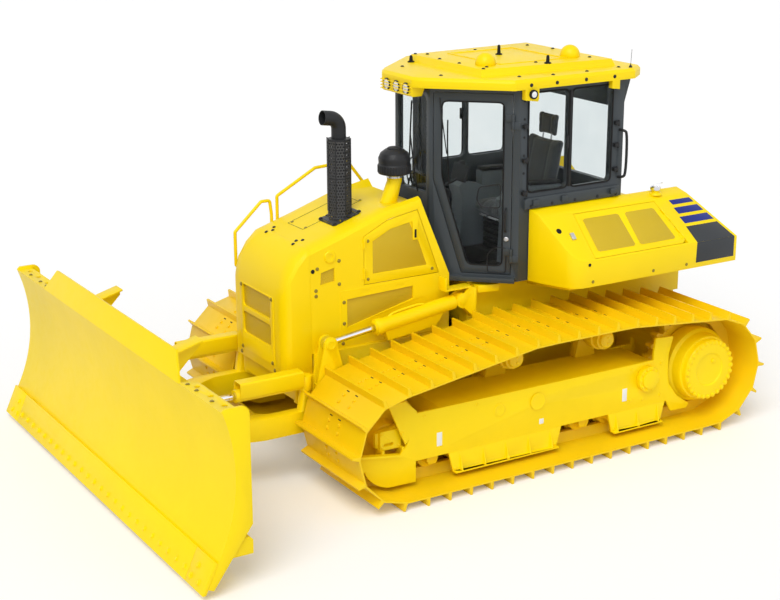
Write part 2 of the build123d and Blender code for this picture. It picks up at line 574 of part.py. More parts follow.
# engine: a plain block at its real place
with BuildPart() as engine_block:
    with BuildSketch(Plane.XY.offset(ENGINE_LOW)):
        with Locations((0, (ENGINE_FRONT + ENGINE_REAR) / 2)):
            Rectangle(2 * ENGINE_HALF, ENGINE_REAR - ENGINE_FRONT)
    extrude(amount=ENGINE_TOP - ENGINE_LOW)
engine_block.part.label = "engine_block"
export_step(engine_block.part, "parts/engine_block.step")

# rear hitch: two lugs with a vertical pin bore on a plate
HITCH_Y, HITCH_R, HITCH_LUG_R = BODY_REAR + 135.0, 28.0, 75.0
HITCH_LOW, HITCH_LUG_T, HITCH_JAW = 470.0, 60.0, 100.0
with BuildPart() as rear_hitch:
    for z in (HITCH_LOW, HITCH_LOW + HITCH_LUG_T + HITCH_JAW):
        with BuildSketch(Plane.XY.offset(z)):
            section([(-170, BODY_REAR), (170, BODY_REAR), (HITCH_LUG_R, HITCH_Y), (-HITCH_LUG_R, HITCH_Y)])
            with Locations((0, HITCH_Y)):
                Circle(HITCH_LUG_R)
                Circle(HITCH_R, mode=Mode.SUBTRACT)
        extrude(amount=HITCH_LUG_T)
    with BuildSketch(Plane.XZ.offset(-BODY_REAR)):
        with Locations((0, HITCH_LOW + HITCH_LUG_T + HITCH_JAW / 2)):
            Rectangle(420, 280)
    extrude(amount=-30)
rear_hitch.part.label = "rear_hitch"
export_step(rear_hitch.part, "parts/rear_hitch.step")

# ---------------------------------------------------------------- hood and mask
HOOD_END = CAB_FRONT_Y - 195.0   # rear edge of the hood's top
CREASE = (  # y, z of the hood's upper outline from the nose to the cab
    (NOSE_Y, 1500.0), (NOSE_Y + 43, 1680.0), (NOSE_Y + 118, 1800.0), (NOSE_Y + 223, 1885.0),
    (HOOD_END - 745, 1990.0), (HOOD_END - 345, 2125.0), (HOOD_END, 2190.0),
)
FLAT_Z = 2120.0           # level part of the hood's centre in front of the cab
HOOD_RAKE, HOOD_TAIL_Z = 276.0, 1491.0   # rear edge leans back by this much, down to this height
NOSE_SCREENS = ((1382.0, 185.0), (1150.0, 185.0))   # centre height, height
NOSE_SCREEN_W = 500.0
SIDE_SCREEN = [(HOOD_SPLIT + 55.0, 1545.0), (HOOD_SPLIT + 68.0, 1700.0), (HOOD_SPLIT + 245.0, 1740.0),
               (HOOD_SPLIT + 245.0, 1565.0)]
RECESS = [(ENGINE_FRONT + 205, 1420.0), (ENGINE_REAR - 225, 1440.0), (ENGINE_REAR - 225, 1330.0),
          (ENGINE_FRONT + 205, 1180.0)]
DOOR_PTS = [(HOOD_END - 555, 1515.0), (HOOD_END - 555, 1925.0), (HOOD_END - 328, 2035.0),
            (HOOD_END - 40, 2085.0), (HOOD_END + 175, 1515.0)]
STACK_X, STACK_Y, STACK_TOP, STACK_R = 160.0, -690.0, 2790.0, 60.0
STACK_GUARD_TOP, STACK_GUARD_R = 2684.0, 100.0


HOOD_CORNER = 90.0        # rounding of the nose's upright corners
SHOULDER = ((HOOD_FLAT, 0.0), (402.0, 9.0), (441.0, 28.0), (HOOD_HALF, 58.0))     # x, fall below the flat


def hood_side(inset, drop, flat):
    """Side outline of the hood, inset from the outer skin and lowered by drop."""
    top = [(y + (inset + drop / 2 if i < 3 else 0), z - inset - drop) for i, (y, z) in enumerate(CREASE)]
    if flat:
        top = [(y, min(z, FLAT_Z - inset)) for y, z in top]
    run_out = 60 if inset else 0       # the hollow runs out of the open back
    top[-1] = (top[-1][0] + run_out, top[-1][1])
    tail = (HOOD_END + HOOD_RAKE + run_out, HOOD_TAIL_Z)
    low = MASK_LOW if inset == 0 else MASK_LOW - 50
    return [(NOSE_Y + inset, low)] + top + [tail, (tail[0], low)]


def hood_form(inset):
    """Solid of the hood's outside, or of its hollow when inset, with crowned shoulders."""
    with BuildPart() as form:
        with BuildSketch(Plane.YZ):
            section(hood_side(inset, 0, True))
        extrude(amount=HOOD_FLAT - inset)
        for (x0, fall0), (x1, fall1) in zip(SHOULDER, SHOULDER[1:]):
            with BuildSketch(Plane.YZ.offset(x0 - inset)):
                section(hood_side(inset, fall0, x0 == HOOD_FLAT))
            with BuildSketch(Plane.YZ.offset(x1 - inset)):
                section(hood_side(inset, fall1, False))
            loft(ruled=True)
        mirror(about=Plane.YZ)
        # upright corners of the nose
        reach = HOOD_END + HOOD_RAKE + 200 - NOSE_Y
        with BuildSketch(Plane.XY.offset(MASK_LOW - 60)):
            with Locations((0, NOSE_Y + inset + reach / 2)):
                RectangleRounded(2 * (HOOD_HALF - inset), reach, HOOD_CORNER - inset)
        extrude(amount=CREASE[-1][1] - MASK_LOW + 120, mode=Mode.INTERSECT)
    return form.part


with BuildPart() as hood_body:
    add(hood_form(0))
    add(hood_form(HOOD_T), mode=Mode.SUBTRACT)
    # small framed screens in both sides behind the mask
    with BuildSketch(Plane.YZ.offset(-HOOD_HALF - 10)):
        section(grown(SIDE_SCREEN, -28))
    extrude(amount=2 * HOOD_HALF + 20, mode=Mode.SUBTRACT)

with BuildPart() as front_mask:
    add(hood_body.part)
    split(bisect_by=Plane.XZ.offset(-HOOD_SPLIT), keep=Keep.TOP)
    for z, height in NOSE_SCREENS:
        with BuildSketch(Plane.XZ.offset(-NOSE_Y - 100)):
            with Locations((0, z)):
                RectangleRounded(NOSE_SCREEN_W, height, 35)
        extrude(amount=200, mode=Mode.SUBTRACT)
    # bolted frame round the screens
    with BuildSketch(Plane.XZ.offset(-NOSE_Y - 1)):
        with Locations((0, 1195)):
            RectangleRounded(NOSE_SCREEN_W + 90, 580, 25)
        for z, height in NOSE_SCREENS:
            with Locations((0, z)):
                RectangleRounded(NOSE_SCREEN_W, height, 35, mode=Mode.SUBTRACT)
    extrude(amount=5)
front_mask.part.label = "front_mask"
export_step(front_mask.part, "parts/front_mask.step")

KNUCKLE_R = 8.0           # hinges of the sheet-metal doors
HINGE_X = HOOD_HALF + KNUCKLE_R + 1
KNUCKLE_L = 42.0
ENGINE_DOOR_HINGES = (1570.0, 1825.0)
with BuildPart() as hood:
    add(hood_body.part)
    split(bisect_by=Plane.XZ.offset(-HOOD_SPLIT - SEAT), keep=Keep.BOTTOM)
    with BuildSketch(Plane.XY.offset(HOOD_LOW)):
        with Locations((0, -400)):
            Rectangle(4 * HOOD_HALF, 2400)
    extrude(amount=-400, mode=Mode.SUBTRACT)
    for s in (1, -1):
        with BuildSketch(Plane.YZ.offset(s * (HOOD_HALF - 60))):
            section(DOOR_PTS)
            section(RECESS)
        extrude(amount=s * 120, mode=Mode.SUBTRACT)
        # raised frame of the lower side panel, with two hand slots
        with BuildSketch(Plane.YZ.offset(s * (HOOD_HALF - 1))):
            section([(RECESS[0][0] - 60, 1110), (RECESS[0][0] - 60, RECESS[0][1] + 75),
                     (RECESS[1][0] - 20, RECESS[1][1] + 60), (RECESS[1][0] + 110, RECESS[1][1] - 60),
                     (RECESS[1][0] + 110, 1110)])
            section(grown(RECESS, 1), Mode.SUBTRACT)
            with Locations((RECESS[0][0] + 180, RECESS[0][1] + 36), (RECESS[1][0] - 130, RECESS[1][1] + 16)):
                SlotOverall(90, 34, mode=Mode.SUBTRACT)
            section([(RECESS[0][0] - 5, 1105), (RECESS[0][0] - 5, RECESS[0][1] - 235),
                     (RECESS[1][0] + 115, 1340), (RECESS[1][0] + 115, 1105)], Mode.SUBTRACT)
        extrude(amount=s * 5)
        # fixed knuckles of the engine door's hinges
        for z in ENGINE_DOOR_HINGES:
            with BuildSketch(Plane.XY.offset(z)):
                with Locations((s * HINGE_X, DOOR_PTS[0][0])):
                    Circle(KNUCKLE_R)
                with Locations((s * (HOOD_HALF + 2), DOOR_PTS[0][0] - 14)):
                    Rectangle(6, 28)
            extrude(amount=KNUCKLE_L)
    # hole for the exhaust
    with BuildSketch(Plane.XY.offset(CREASE[3][1])):
        with Locations((STACK_X, STACK_Y)):
            Circle(STACK_R + 6)
    extrude(amount=400, mode=Mode.SUBTRACT)
hood.part.label = "hood"
export_step(hood.part, "parts/hood.step")

# screens behind the openings of the nose and of the hood's sides
SCREEN_T = 6.0
with BuildPart() as grille_panels:
    for z, height in NOSE_SCREENS:
        with BuildSketch(Plane.XZ.offset(-NOSE_Y - HOOD_T - SEAT)):
            with Locations((0, z)):
                Rectangle(NOSE_SCREEN_W + 30, height + 18)
        extrude(amount=-SCREEN_T)
    for s in (1, -1):
        with BuildSketch(Plane.YZ.offset(s * (HOOD_HALF - HOOD_T - SEAT))):
            section(grown(RECESS, 22))
            section(grown(SIDE_SCREEN, -8))
        extrude(amount=-s * SCREEN_T)
grille_panels.part.label = "grille_panels"
export_step(grille_panels.part, "parts/grille_panels.step")

# engine doors: a pressed panel with a screened field, hinged at its front edge
for side, s in SIDES:
    with BuildPart() as engine_door:
        with BuildSketch(Plane.YZ.offset(s * (HOOD_HALF - HOOD_T))):
            section(grown(DOOR_PTS, -GAP))
        extrude(amount=s * HOOD_T)
        with BuildSketch(Plane.YZ.offset(s * HOOD_HALF)):
            section(grown(DOOR_PTS, -85))
        extrude(amount=-s * 5, mode=Mode.SUBTRACT)
        for z in ENGINE_DOOR_HINGES:
            with BuildSketch(Plane.XY.offset(z + KNUCKLE_L + SEAT)):
                with Locations((s * HINGE_X, DOOR_PTS[0][0])):
                    Circle(KNUCKLE_R)
                with Locations((s * (HOOD_HALF + 2), DOOR_PTS[0][0] + 14)):
                    Rectangle(6, 28)
            extrude(amount=KNUCKLE_L)
        # latch near the rear top corner
        with BuildSketch(Plane.YZ.offset(s * (HOOD_HALF - 1))):
            with Locations((DOOR_PTS[3][0] - 22, DOOR_PTS[3][1] - 135)):
                RectangleRounded(56, 110, 10)
        extrude(amount=s * 7)
    engine_door.part.label = f"engine_door_{side}"
    export_step(engine_door.part, f"parts/engine_door_{side}.step")


# exhaust, its guard, and the air intake with its pre-cleaner
def hood_height(y):
    """Height of the hood's sloping top at y."""
    (y0, z0), (y1, z1) = CREASE[4], CREASE[5]
    return z0 + (z1 - z0) * (y - y0) / (y1 - y0)


with BuildPart() as exhaust_stack:
    with BuildLine() as run:
        FilletPolyline((STACK_X, STACK_Y, ENGINE_TOP + SEAT), (STACK_X, STACK_Y, STACK_TOP + 55),
                       (STACK_X, STACK_Y - 150, STACK_TOP + 75), radius=90)
    with BuildSketch(Plane.XY.offset(ENGINE_TOP + SEAT)):
        with Locations((STACK_X, STACK_Y)):
            Circle(STACK_R)
            Circle(STACK_R - 6, mode=Mode.SUBTRACT)
    sweep(path=run.line)
exhaust_stack.part.label = "exhaust_stack"
export_step(exhaust_stack.part, "parts/exhaust_stack.step")

HOOD_SLOPE = math.atan2(CREASE[5][1] - CREASE[4][1], CREASE[5][0] - CREASE[4][0])
STACK_SEAT = Plane(origin=(STACK_X, STACK_Y, hood_height(STACK_Y) + SEAT), x_dir=(1, 0, 0),
                   z_dir=(0, -math.sin(HOOD_SLOPE), math.cos(HOOD_SLOPE)))
with BuildPart() as exhaust_guard:
    with BuildSketch(Plane.XY.offset(hood_height(STACK_Y) - 120)):
        with Locations((STACK_X, STACK_Y)):
            RegularPolygon(STACK_GUARD_R, 8)
            RegularPolygon(STACK_GUARD_R - 6, 8, mode=Mode.SUBTRACT)
    extrude(amount=STACK_GUARD_TOP - hood_height(STACK_Y) + 120)
    split(bisect_by=STACK_SEAT, keep=Keep.TOP)
    with BuildSketch(STACK_SEAT):
        RectangleRounded(270, 270, 30)
        Circle(STACK_R + 20, mode=Mode.SUBTRACT)
    extrude(amount=10)
exhaust_guard.part.label = "exhaust_guard"
export_step(exhaust_guard.part, "parts/exhaust_guard.step")

PRE_X, PRE_Y, PRE_LOW, PRE_TOP, PRE_R = 220.0, HOOD_END - 115.0, 2353.0, 2563.0, 138.0
INTAKE_R = 62.0
with BuildPart() as intake_pipe:
    with BuildSketch(Plane.XY.offset(FLAT_Z + SEAT)):
        with Locations((PRE_X, PRE_Y - 60)):
            Ellipse(INTAKE_R, INTAKE_R + 16)
    with BuildSketch(Plane.XY.offset(PRE_LOW - 60)):
        with Locations((PRE_X, PRE_Y)):
            Circle(INTAKE_R)
    loft(ruled=True)
    with BuildSketch(Plane.XY.offset(PRE_LOW - 60)):
        with Locations((PRE_X, PRE_Y)):
            Circle(INTAKE_R)
    extrude(amount=90)
intake_pipe.part.label = "intake_pipe"
export_step(intake_pipe.part, "parts/intake_pipe.step")

with BuildPart() as precleaner:
    with BuildSketch(Plane.XZ.offset(-PRE_Y)):
        section([(PRE_X + dx, z) for dx, z in (
            (INTAKE_R + RUN, PRE_LOW), (PRE_R - 6, PRE_LOW), (PRE_R, PRE_LOW + 12), (PRE_R, PRE_LOW + 75),
            (PRE_R - 7, PRE_LOW + 82), (PRE_R - 4, PRE_TOP - 80), (PRE_R - 22, PRE_TOP - 38),
            (PRE_R - 62, PRE_TOP - 8), (PRE_R - 110, PRE_TOP), (0, PRE_TOP), (0, PRE_LOW + 30 + SEAT),
            (INTAKE_R + RUN, PRE_LOW + 30 + SEAT))])
    revolve(axis=Axis((PRE_X, PRE_Y, 0), (0, 0, 1)))
precleaner.part.label = "precleaner"
export_step(precleaner.part, "parts/precleaner.step")

# ---------------------------------------------------------------- cab
CAB_LOW = DECK_Z + SEAT
FLOOR_T = 40.0
DOOR_DX, DOOR_DY = CAB_HALF - CAB_FRONT_HALF, CAB_PILLAR_Y - CAB_FRONT_Y
DOOR_LEN = math.hypot(DOOR_DX, DOOR_DY)
# plane of the left door: u along the door, v up, n outwards
DOOR_PLANE = Plane(origin=(CAB_FRONT_HALF, CAB_FRONT_Y, 0), x_dir=(DOOR_DX, DOOR_DY, 0),
                   z_dir=(DOOR_DY, -DOOR_DX, 0))
DOOR_REAR = DOOR_LEN - 60.0
DOOR_OUTLINE = [(30.0, 3010.0), (30.0, 2280.0), (275.0, 1480.0), (DOOR_REAR, 1480.0), (DOOR_REAR, 3010.0)]
DOOR_BORDER = 70.0        # width of the door's frame round its glass
GLASS_CORNER = 60.0       # rounding of the window corners
HINGE_R, HINGE_OUT, HINGE_L = 14.0, 15.0, 60.0   # knuckle radius, axis ahead of the door, length
DOOR_HINGE = DOOR_PLANE.from_local_coords(Vector(DOOR_REAR, 0, HINGE_OUT))
DOOR_HINGES = (1650.0, 2780.0)   # joint between fixed and moving knuckle
STRAP_T, STRAP_L = 12.0, 62.0
SIDE_PANES = ((738.0, 1153.0), (1183.0, 1614.0))    # y from, y to
SIDE_PANE_TOP = CAB_TOP - 40.0
SCREEN_LOW, SCREEN_TOP = 2145.0, 2975.0      # windscreen and rear window
SCREEN_HALF, REAR_SCREEN_HALF = CAB_FRONT_HALF - 45.0, CAB_HALF - 150.0


def cab_plan(t):
    """Six-sided plan of the cab, inset by t."""
    fx, px = CAB_FRONT_HALF - 0.45 * t, CAB_HALF - t
    fy, py, ry = CAB_FRONT_Y + t, CAB_PILLAR_Y + 0.45 * t, CAB_REAR_Y - t
    return [(fx, fy), (px, py), (px, ry), (-px, ry), (-px, py), (-fx, fy)]


def pane(u0, u1, v0, v1):
    """Window outline with rounded corners."""
    with Locations(((u0 + u1) / 2, (v0 + v1) / 2)):
        RectangleRounded(u1 - u0, v1 - v0, GLASS_CORNER)


def screens(half):
    """Outline of the windscreen or of the rear window."""
    pane(-half, half, SCREEN_LOW, SCREEN_TOP)


def side_panes():
    """Outlines of the two panes of a side window."""
    for y0, y1 in SIDE_PANES:
        pane(y0, y1, SILL_Z, SIDE_PANE_TOP)


def knuckle(z, outwards):
    """Hinge knuckle of the left cab door with its strap; outwards is 1 on the post, -1 on the door."""
    with BuildPart() as hinge:
        with BuildSketch(Plane.XY.offset(z)):
            with Locations((DOOR_HINGE.X, DOOR_HINGE.Y)):
                Circle(HINGE_R)
        extrude(amount=HINGE_L)
        with BuildSketch(DOOR_PLANE.offset(-1)):
            with Locations((DOOR_REAR + outwards * STRAP_L / 2, z + HINGE_L / 2)):
                Rectangle(STRAP_L, HINGE_L)
        extrude(amount=STRAP_T + 1)
    return hinge.part


with BuildPart() as cab_shell:
    with BuildSketch(Plane.XY.offset(CAB_LOW)):
        section(cab_plan(0))
        section(cab_plan(CAB_T), Mode.SUBTRACT)
    extrude(amount=CAB_TOP - CAB_LOW)
    with BuildSketch(Plane.XZ.offset(-CAB_FRONT_Y + 100)):
        screens(SCREEN_HALF)
    extrude(amount=-250, mode=Mode.SUBTRACT)
    with BuildSketch(Plane.YZ.offset(CAB_HALF - CAB_T - 20)):
        side_panes()
    extrude(amount=CAB_T + 40, mode=Mode.SUBTRACT)
    with BuildSketch(Plane.XZ.offset(-CAB_REAR_Y - 20)):
        screens(REAR_SCREEN_HALF)
    extrude(amount=120, mode=Mode.SUBTRACT)
    # door opening in the slanted face, a step along its foot and the post's hinge knuckles
    with BuildSketch(DOOR_PLANE.offset(60)):
        section(DOOR_OUTLINE)
    extrude(amount=-200, mode=Mode.SUBTRACT)
    with BuildSketch(DOOR_PLANE.offset(-1)):
        section([(60, CAB_LOW), (DOOR_LEN - 20, CAB_LOW), (DOOR_LEN - 20, CAB_LOW + 40), (60, CAB_LOW + 40)])
    extrude(amount=71)
    for z in DOOR_HINGES:
        add(knuckle(z - HINGE_L, 1))
    # pressed beam under the side windows
    with BuildSketch(Plane.YZ.offset(CAB_HALF - 1)):
        section([(698, BOX_TOP + GAP), (1700, BOX_TOP + GAP), (1700, SILL_Z - 60), (1680, SILL_Z - 40),
                 (718, SILL_Z - 40), (698, SILL_Z - 60)])
    extrude(amount=31)
    split(bisect_by=Plane.YZ, keep=Keep.TOP)
    mirror(about=Plane.YZ)
cab_shell.part.label = "cab_shell"
export_step(cab_shell.part, "parts/cab_shell.step")

with BuildPart() as cab_windows:
    with BuildSketch(Plane.YZ.offset(CAB_HALF - 30)):
        side_panes()
    extrude(amount=GLASS_T)
    mirror(about=Plane.YZ)
    with BuildSketch(Plane.XZ.offset(-CAB_FRONT_Y - 20)):
        screens(SCREEN_HALF)
    extrude(amount=-GLASS_T)
    with BuildSketch(Plane.XZ.offset(-CAB_REAR_Y + 30)):
        screens(REAR_SCREEN_HALF)
    extrude(amount=-GLASS_T)
cab_windows.part.label = "cab_windows"
export_step(cab_windows.part, "parts/cab_windows.step")

LEAF = grown(DOOR_OUTLINE, -GAP)
DOOR_GLASS = grown(LEAF, -DOOR_BORDER)
for side, s in SIDES:
    with BuildPart() as cab_door:
        with BuildSketch(DOOR_PLANE):
            section(LEAF)
            rounded(DOOR_GLASS, GLASS_CORNER, Mode.SUBTRACT)
        extrude(amount=-DOOR_T)
        for z in DOOR_HINGES:
            add(knuckle(z + SEAT, -1))
        if s < 0:
            mirror(about=Plane.YZ, mode=Mode.REPLACE)
    cab_door.part.label = f"cab_door_{side}"
    export_step(cab_door.part, f"parts/cab_door_{side}.step")
    with BuildPart() as door_glass:
        with BuildSketch(DOOR_PLANE.offset(-15)):
            rounded(DOOR_GLASS, GLASS_CORNER)
        extrude(amount=-GLASS_T)
        if s < 0:
            mirror(about=Plane.YZ, mode=Mode.REPLACE)
    door_glass.part.label = f"door_glass_{side}"
    export_step(door_glass.part, f"parts/door_glass_{side}.step")

# floor with the dash pedestal
DASH = [(CAB_FRONT_Y + 65, 0.0), (CAB_FRONT_Y + 220, 0.0), (CAB_FRONT_Y + 190, 430.0),
        (CAB_FRONT_Y + 310, 615.0), (CAB_FRONT_Y + 290, 665.0), (CAB_FRONT_Y + 90, 690.0),
        (CAB_FRONT_Y + 65, 560.0)]    # y, height
with BuildPart() as cab_floor:
    with BuildSketch(Plane.XY.offset(CAB_LOW)):
        section(cab_plan(CAB_T + SEAT))
    extrude(amount=FLOOR_T)
    with BuildSketch(Plane.YZ.offset(-150)):
        section([(y, CAB_LOW + FLOOR_T - 1 + h) for y, h in DASH])
    extrude(amount=300)
cab_floor.part.label = "cab_floor"
export_step(cab_floor.part, "parts/cab_floor.step")

# operator's seat: suspension base, cushion, back and headrest
SEAT_Y = 1180.0
FLOOR_Z = CAB_LOW + FLOOR_T + SEAT
CUSHION = [(-270.0, 330.0), (250.0, 300.0), (260.0, 420.0), (-240.0, 440.0), (-285.0, 410.0)]    # y, height
BACKREST = [(180.0, 415.0), (265.0, 380.0), (385.0, 970.0), (345.0, 1000.0), (300.0, 975.0)]
HEADREST = [(330.0, 990.0), (375.0, 985.0), (400.0, 1190.0), (370.0, 1210.0), (335.0, 1190.0)]
with BuildPart() as operator_seat:
    with BuildSketch(Plane.XY.offset(FLOOR_Z)):
        with Locations((0, SEAT_Y)):
            RectangleRounded(380, 440, 30)
    with BuildSketch(Plane.XY.offset(FLOOR_Z + 320)):
        with Locations((0, SEAT_Y)):
            RectangleRounded(300, 380, 30)
    loft(ruled=True)
    for outline, half in ((CUSHION, 250), (BACKREST, 245), (HEADREST, 140)):
        with BuildSketch(Plane.YZ.offset(-half)):
            section([(SEAT_Y + y, FLOOR_Z + h) for y, h in outline])
        extrude(amount=2 * half)
operator_seat.part.label = "operator_seat"
export_step(operator_seat.part, "parts/operator_seat.step")

# consoles beside the seat, each with an armrest and a control lever
CONSOLE = [(-380.0, 0.0), (260.0, 0.0), (260.0, 500.0), (-60.0, 520.0), (-340.0, 600.0), (-400.0, 560.0),
           (-360.0, 420.0)]    # y from the seat, height
with BuildPart() as seat_consoles:
    with BuildSketch(Plane.YZ.offset(285)):
        section([(SEAT_Y + y, FLOOR_Z + h) for y, h in CONSOLE])
    extrude(amount=170)
    with BuildSketch(Plane.YZ.offset(310)):
        section([(SEAT_Y - 130, FLOOR_Z + 530), (SEAT_Y + 210, FLOOR_Z + 490), (SEAT_Y + 210, FLOOR_Z + 640),
                 (SEAT_Y - 130, FLOOR_Z + 660)])
    extrude(amount=100)
    with Locations((370, SEAT_Y - 300, FLOOR_Z + 720)):
        Sphere(32)
    with Locations((370, SEAT_Y - 300, FLOOR_Z + 560)):
        Cylinder(24, 150, align=(Align.CENTER, Align.CENTER, Align.MIN))
    mirror(about=Plane.YZ)
seat_consoles.part.label = "seat_consoles"
export_step(seat_consoles.part, "parts/seat_consoles.step")

# roof: a chamfered plate with a raised deck, a brow for the front lamps and lamp brackets at the posts
ROOF_LOW = CAB_TOP + SEAT
ROOF_PLAN = [(232.0, -42.0), (340.0, 20.0), (845.0, 560.0), (845.0, 1800.0), (700.0, 1975.0)]
ROOF_DECK = [(560.0, 420.0), (640.0, 1750.0)]
EAVE_T, BEVEL_T, DECK_T = 60.0, 25.0, 60.0
LAMP_R, LAMP_Z, LAMP_DEPTH = 45.0, 3030.0, 40.0
LAMP_XS = (-150.0, 0.0, 150.0)
BROW_Y, BROW_LOW = ROOF_PLAN[0][1], 2969.0
ROOF_BRACKETS = ([(665, 2965), (790, 2945), (800, 2965), (800, 3060), (665, 3060)],
                 [(1560, 2985), (1640, 2975), (1640, 3060), (1560, 3060)])     # y, z
DECK_TOP = ROOF_LOW + EAVE_T + BEVEL_T + DECK_T


def both_sides(points):
    """Outline given for the left, closed over the right."""
    return points + [(-x, y) for x, y in reversed(points)]


with BuildPart() as cab_roof:
    with BuildSketch(Plane.XY.offset(ROOF_LOW)):
        section(both_sides(ROOF_PLAN))
    extrude(amount=EAVE_T)
    for z, inset, rise in ((EAVE_T, 0, BEVEL_T), (EAVE_T + BEVEL_T, None, DECK_T)):
        plan = ROOF_PLAN if inset == 0 else ROOF_DECK
        with BuildSketch(Plane.XY.offset(ROOF_LOW + z)):
            section(both_sides(plan))
        with BuildSketch(Plane.XY.offset(ROOF_LOW + z + rise)):
            section(grown(both_sides(plan), -22))
        loft(ruled=True)
    with BuildSketch(Plane.YZ.offset(-230)):
        section([(BROW_Y, BROW_LOW + 12), (BROW_Y + 12, BROW_LOW), (60, BROW_LOW), (95, ROOF_LOW + 1),
                 (BROW_Y, ROOF_LOW + 1)])
    extrude(amount=460)
    for outline in ROOF_BRACKETS:
        with BuildSketch(Plane.YZ.offset(CAB_HALF + GAP)):
            section(outline)
        extrude(amount=50)
        with BuildSketch(Plane.YZ.offset(-CAB_HALF - GAP)):
            section(outline)
        extrude(amount=-50)
    with BuildSketch(Plane.XZ.offset(-BROW_Y)):
        with Locations(*[(x, LAMP_Z) for x in LAMP_XS]):
            Circle(LAMP_R + SEAT)
    extrude(amount=-LAMP_DEPTH - SEAT, mode=Mode.SUBTRACT)
cab_roof.part.label = "cab_roof"
export_step(cab_roof.part, "parts/cab_roof.step")

with BuildPart() as roof_lamps:
    with BuildSketch(Plane.XZ.offset(-BROW_Y - LAMP_DEPTH)):
        with Locations(*[(x, LAMP_Z) for x in LAMP_XS]):
            Circle(LAMP_R)
    extrude(amount=LAMP_DEPTH + 6)
roof_lamps.part.label = "roof_lamps"
export_step(roof_lamps.part, "parts/roof_lamps.step")

# antenna domes
DOME_R, DOME_RIM, DOME_H = 85.0, 30.0, 102.5
DOME_C = (DOME_H ** 2 - DOME_RIM ** 2 - DOME_R ** 2) / (2 * (DOME_H - DOME_RIM))   # centre of the crown
DOME_START = math.degrees(math.atan2(DOME_RIM - DOME_C, DOME_R))
with BuildPart() as roof_domes:
    for x, y in ((330.0, 620.0), (330.0, 1500.0)):
        low = DECK_TOP + SEAT
        with BuildSketch(Plane.XZ.offset(-y)):
            with BuildLine():
                a = CenterArc((x, low + DOME_C), DOME_H - DOME_C, DOME_START, 90 - DOME_START)
                Polyline(a @ 1, (x, low), (x + DOME_R, low), a @ 0)
            make_face()
        revolve(axis=Axis((x, y, 0), (0, 0, 1)))
roof_domes.part.label = "roof_domes"
export_step(roof_domes.part, "parts/roof_domes.step")

# air conditioner housing on the cab's rear wall
with BuildPart() as rear_box:
    with BuildSketch(Plane.YZ.offset(-560)):
        section([(CAB_REAR_Y + SEAT, ROOF_LOW - SEAT), (1960, ROOF_LOW - SEAT), (1990, 2990), (1930, 2790),
                 (CAB_REAR_Y + SEAT, 2790)])
    extrude(amount=1120)
    with BuildSketch(Plane.XZ.offset(-1900)):
        with Locations((-250, 2890), (250, 2890)):
            RectangleRounded(330, 130, 20)
    extrude(amount=-200, mode=Mode.SUBTRACT)
rear_box.part.label = "rear_box"
export_step(rear_box.part, "parts/rear_box.step")

# ---------------------------------------------------------------- side boxes and rear tank
FACE = Vector(BOX_OUT - BOX_FOLD_X, 0, BOX_WAIST - BOX_FOLD_Z).normalized()   # down the slanted face
FACE_LEN = math.hypot(BOX_OUT - BOX_FOLD_X, BOX_FOLD_Z - BOX_WAIST)
# plane of the slanted face: u rearwards, v up the slope, n outwards
FACE_PLANE = Plane(origin=(BOX_FOLD_X, 0, BOX_FOLD_Z), x_dir=(0, 1, 0), z_dir=(-FACE.Z, 0, FACE.X))
SERVICE_DOOR = [(1130.0, -35.0), (1130.0, -FACE_LEN + 20), (2130.0, -FACE_LEN + 20), (2000.0, -35.0)]
# the leaf's foot is cut away beside the hinge, which leans, so that it swings clear of the sill
HINGE_FOOT, HINGE_HEAD = Vector(2130, -FACE_LEN + 20), Vector(2000, -35)
LEAF_HEEL = HINGE_FOOT + (HINGE_HEAD - HINGE_FOOT).normalized() * 28
SERVICE_LEAF = SERVICE_DOOR[:2] + [
    (HINGE_FOOT.X - 45, HINGE_FOOT.Y), (LEAF_HEEL.X, LEAF_HEEL.Y), SERVICE_DOOR[3]]
SERVICE_T = 25.0
REAR_SLOPE = ((2385.0, 2013.0), (BODY_REAR, 1645.0))      # y, z of the slope down to the rear
PIN_R, PIN_OUT, PIN_L = 8.0, 9.0, 60.0      # service door's hinge: radius, axis above the face, length
PORTS = ((1290.0, -150.0, 190.0, 110.0), (1290.0, -330.0, 190.0, 110.0))    # u, v, width, height


def rear_slope(reach):
    """Wedge above the rear slope, to be cut off, in a plane across the machine."""
    (y0, z0), (y1, z1) = REAR_SLOPE
    k = (z1 - z0) / (y1 - y0)
    return [(y0 - reach, z0 - k * reach), (y1 + reach, z1 + k * reach), (y1 + reach, z0 - k * reach)]


def service_pin(share, outwards):
    """Knuckle and strap of the service door's hinge; outwards is 1 on the box, -1 on the door."""
    edge = (HINGE_HEAD - HINGE_FOOT).normalized()
    shift = SEAT / 2 if outwards > 0 else -PIN_L - SEAT / 2
    foot = HINGE_FOOT + (HINGE_HEAD - HINGE_FOOT) * share + edge * shift
    across = Vector(-edge.Y, edge.X) * (-outwards * 24)
    start = FACE_PLANE.from_local_coords(Vector(foot.X, foot.Y, PIN_OUT))
    tip = FACE_PLANE.from_local_coords(Vector(foot.X + edge.X, foot.Y + edge.Y, PIN_OUT))
    with BuildPart() as hinge:
        with BuildSketch(Plane(origin=start, x_dir=FACE_PLANE.z_dir, z_dir=tip - start)):
            Circle(PIN_R)
        extrude(amount=PIN_L)
        head = foot + edge * PIN_L
        with BuildSketch(FACE_PLANE.offset(-1)):
            section([(foot.X, foot.Y), (head.X, head.Y), (head.X + across.X, head.Y + across.Y),
                     (foot.X + across.X, foot.Y + across.Y)])
        extrude(amount=6)
    return hinge.part


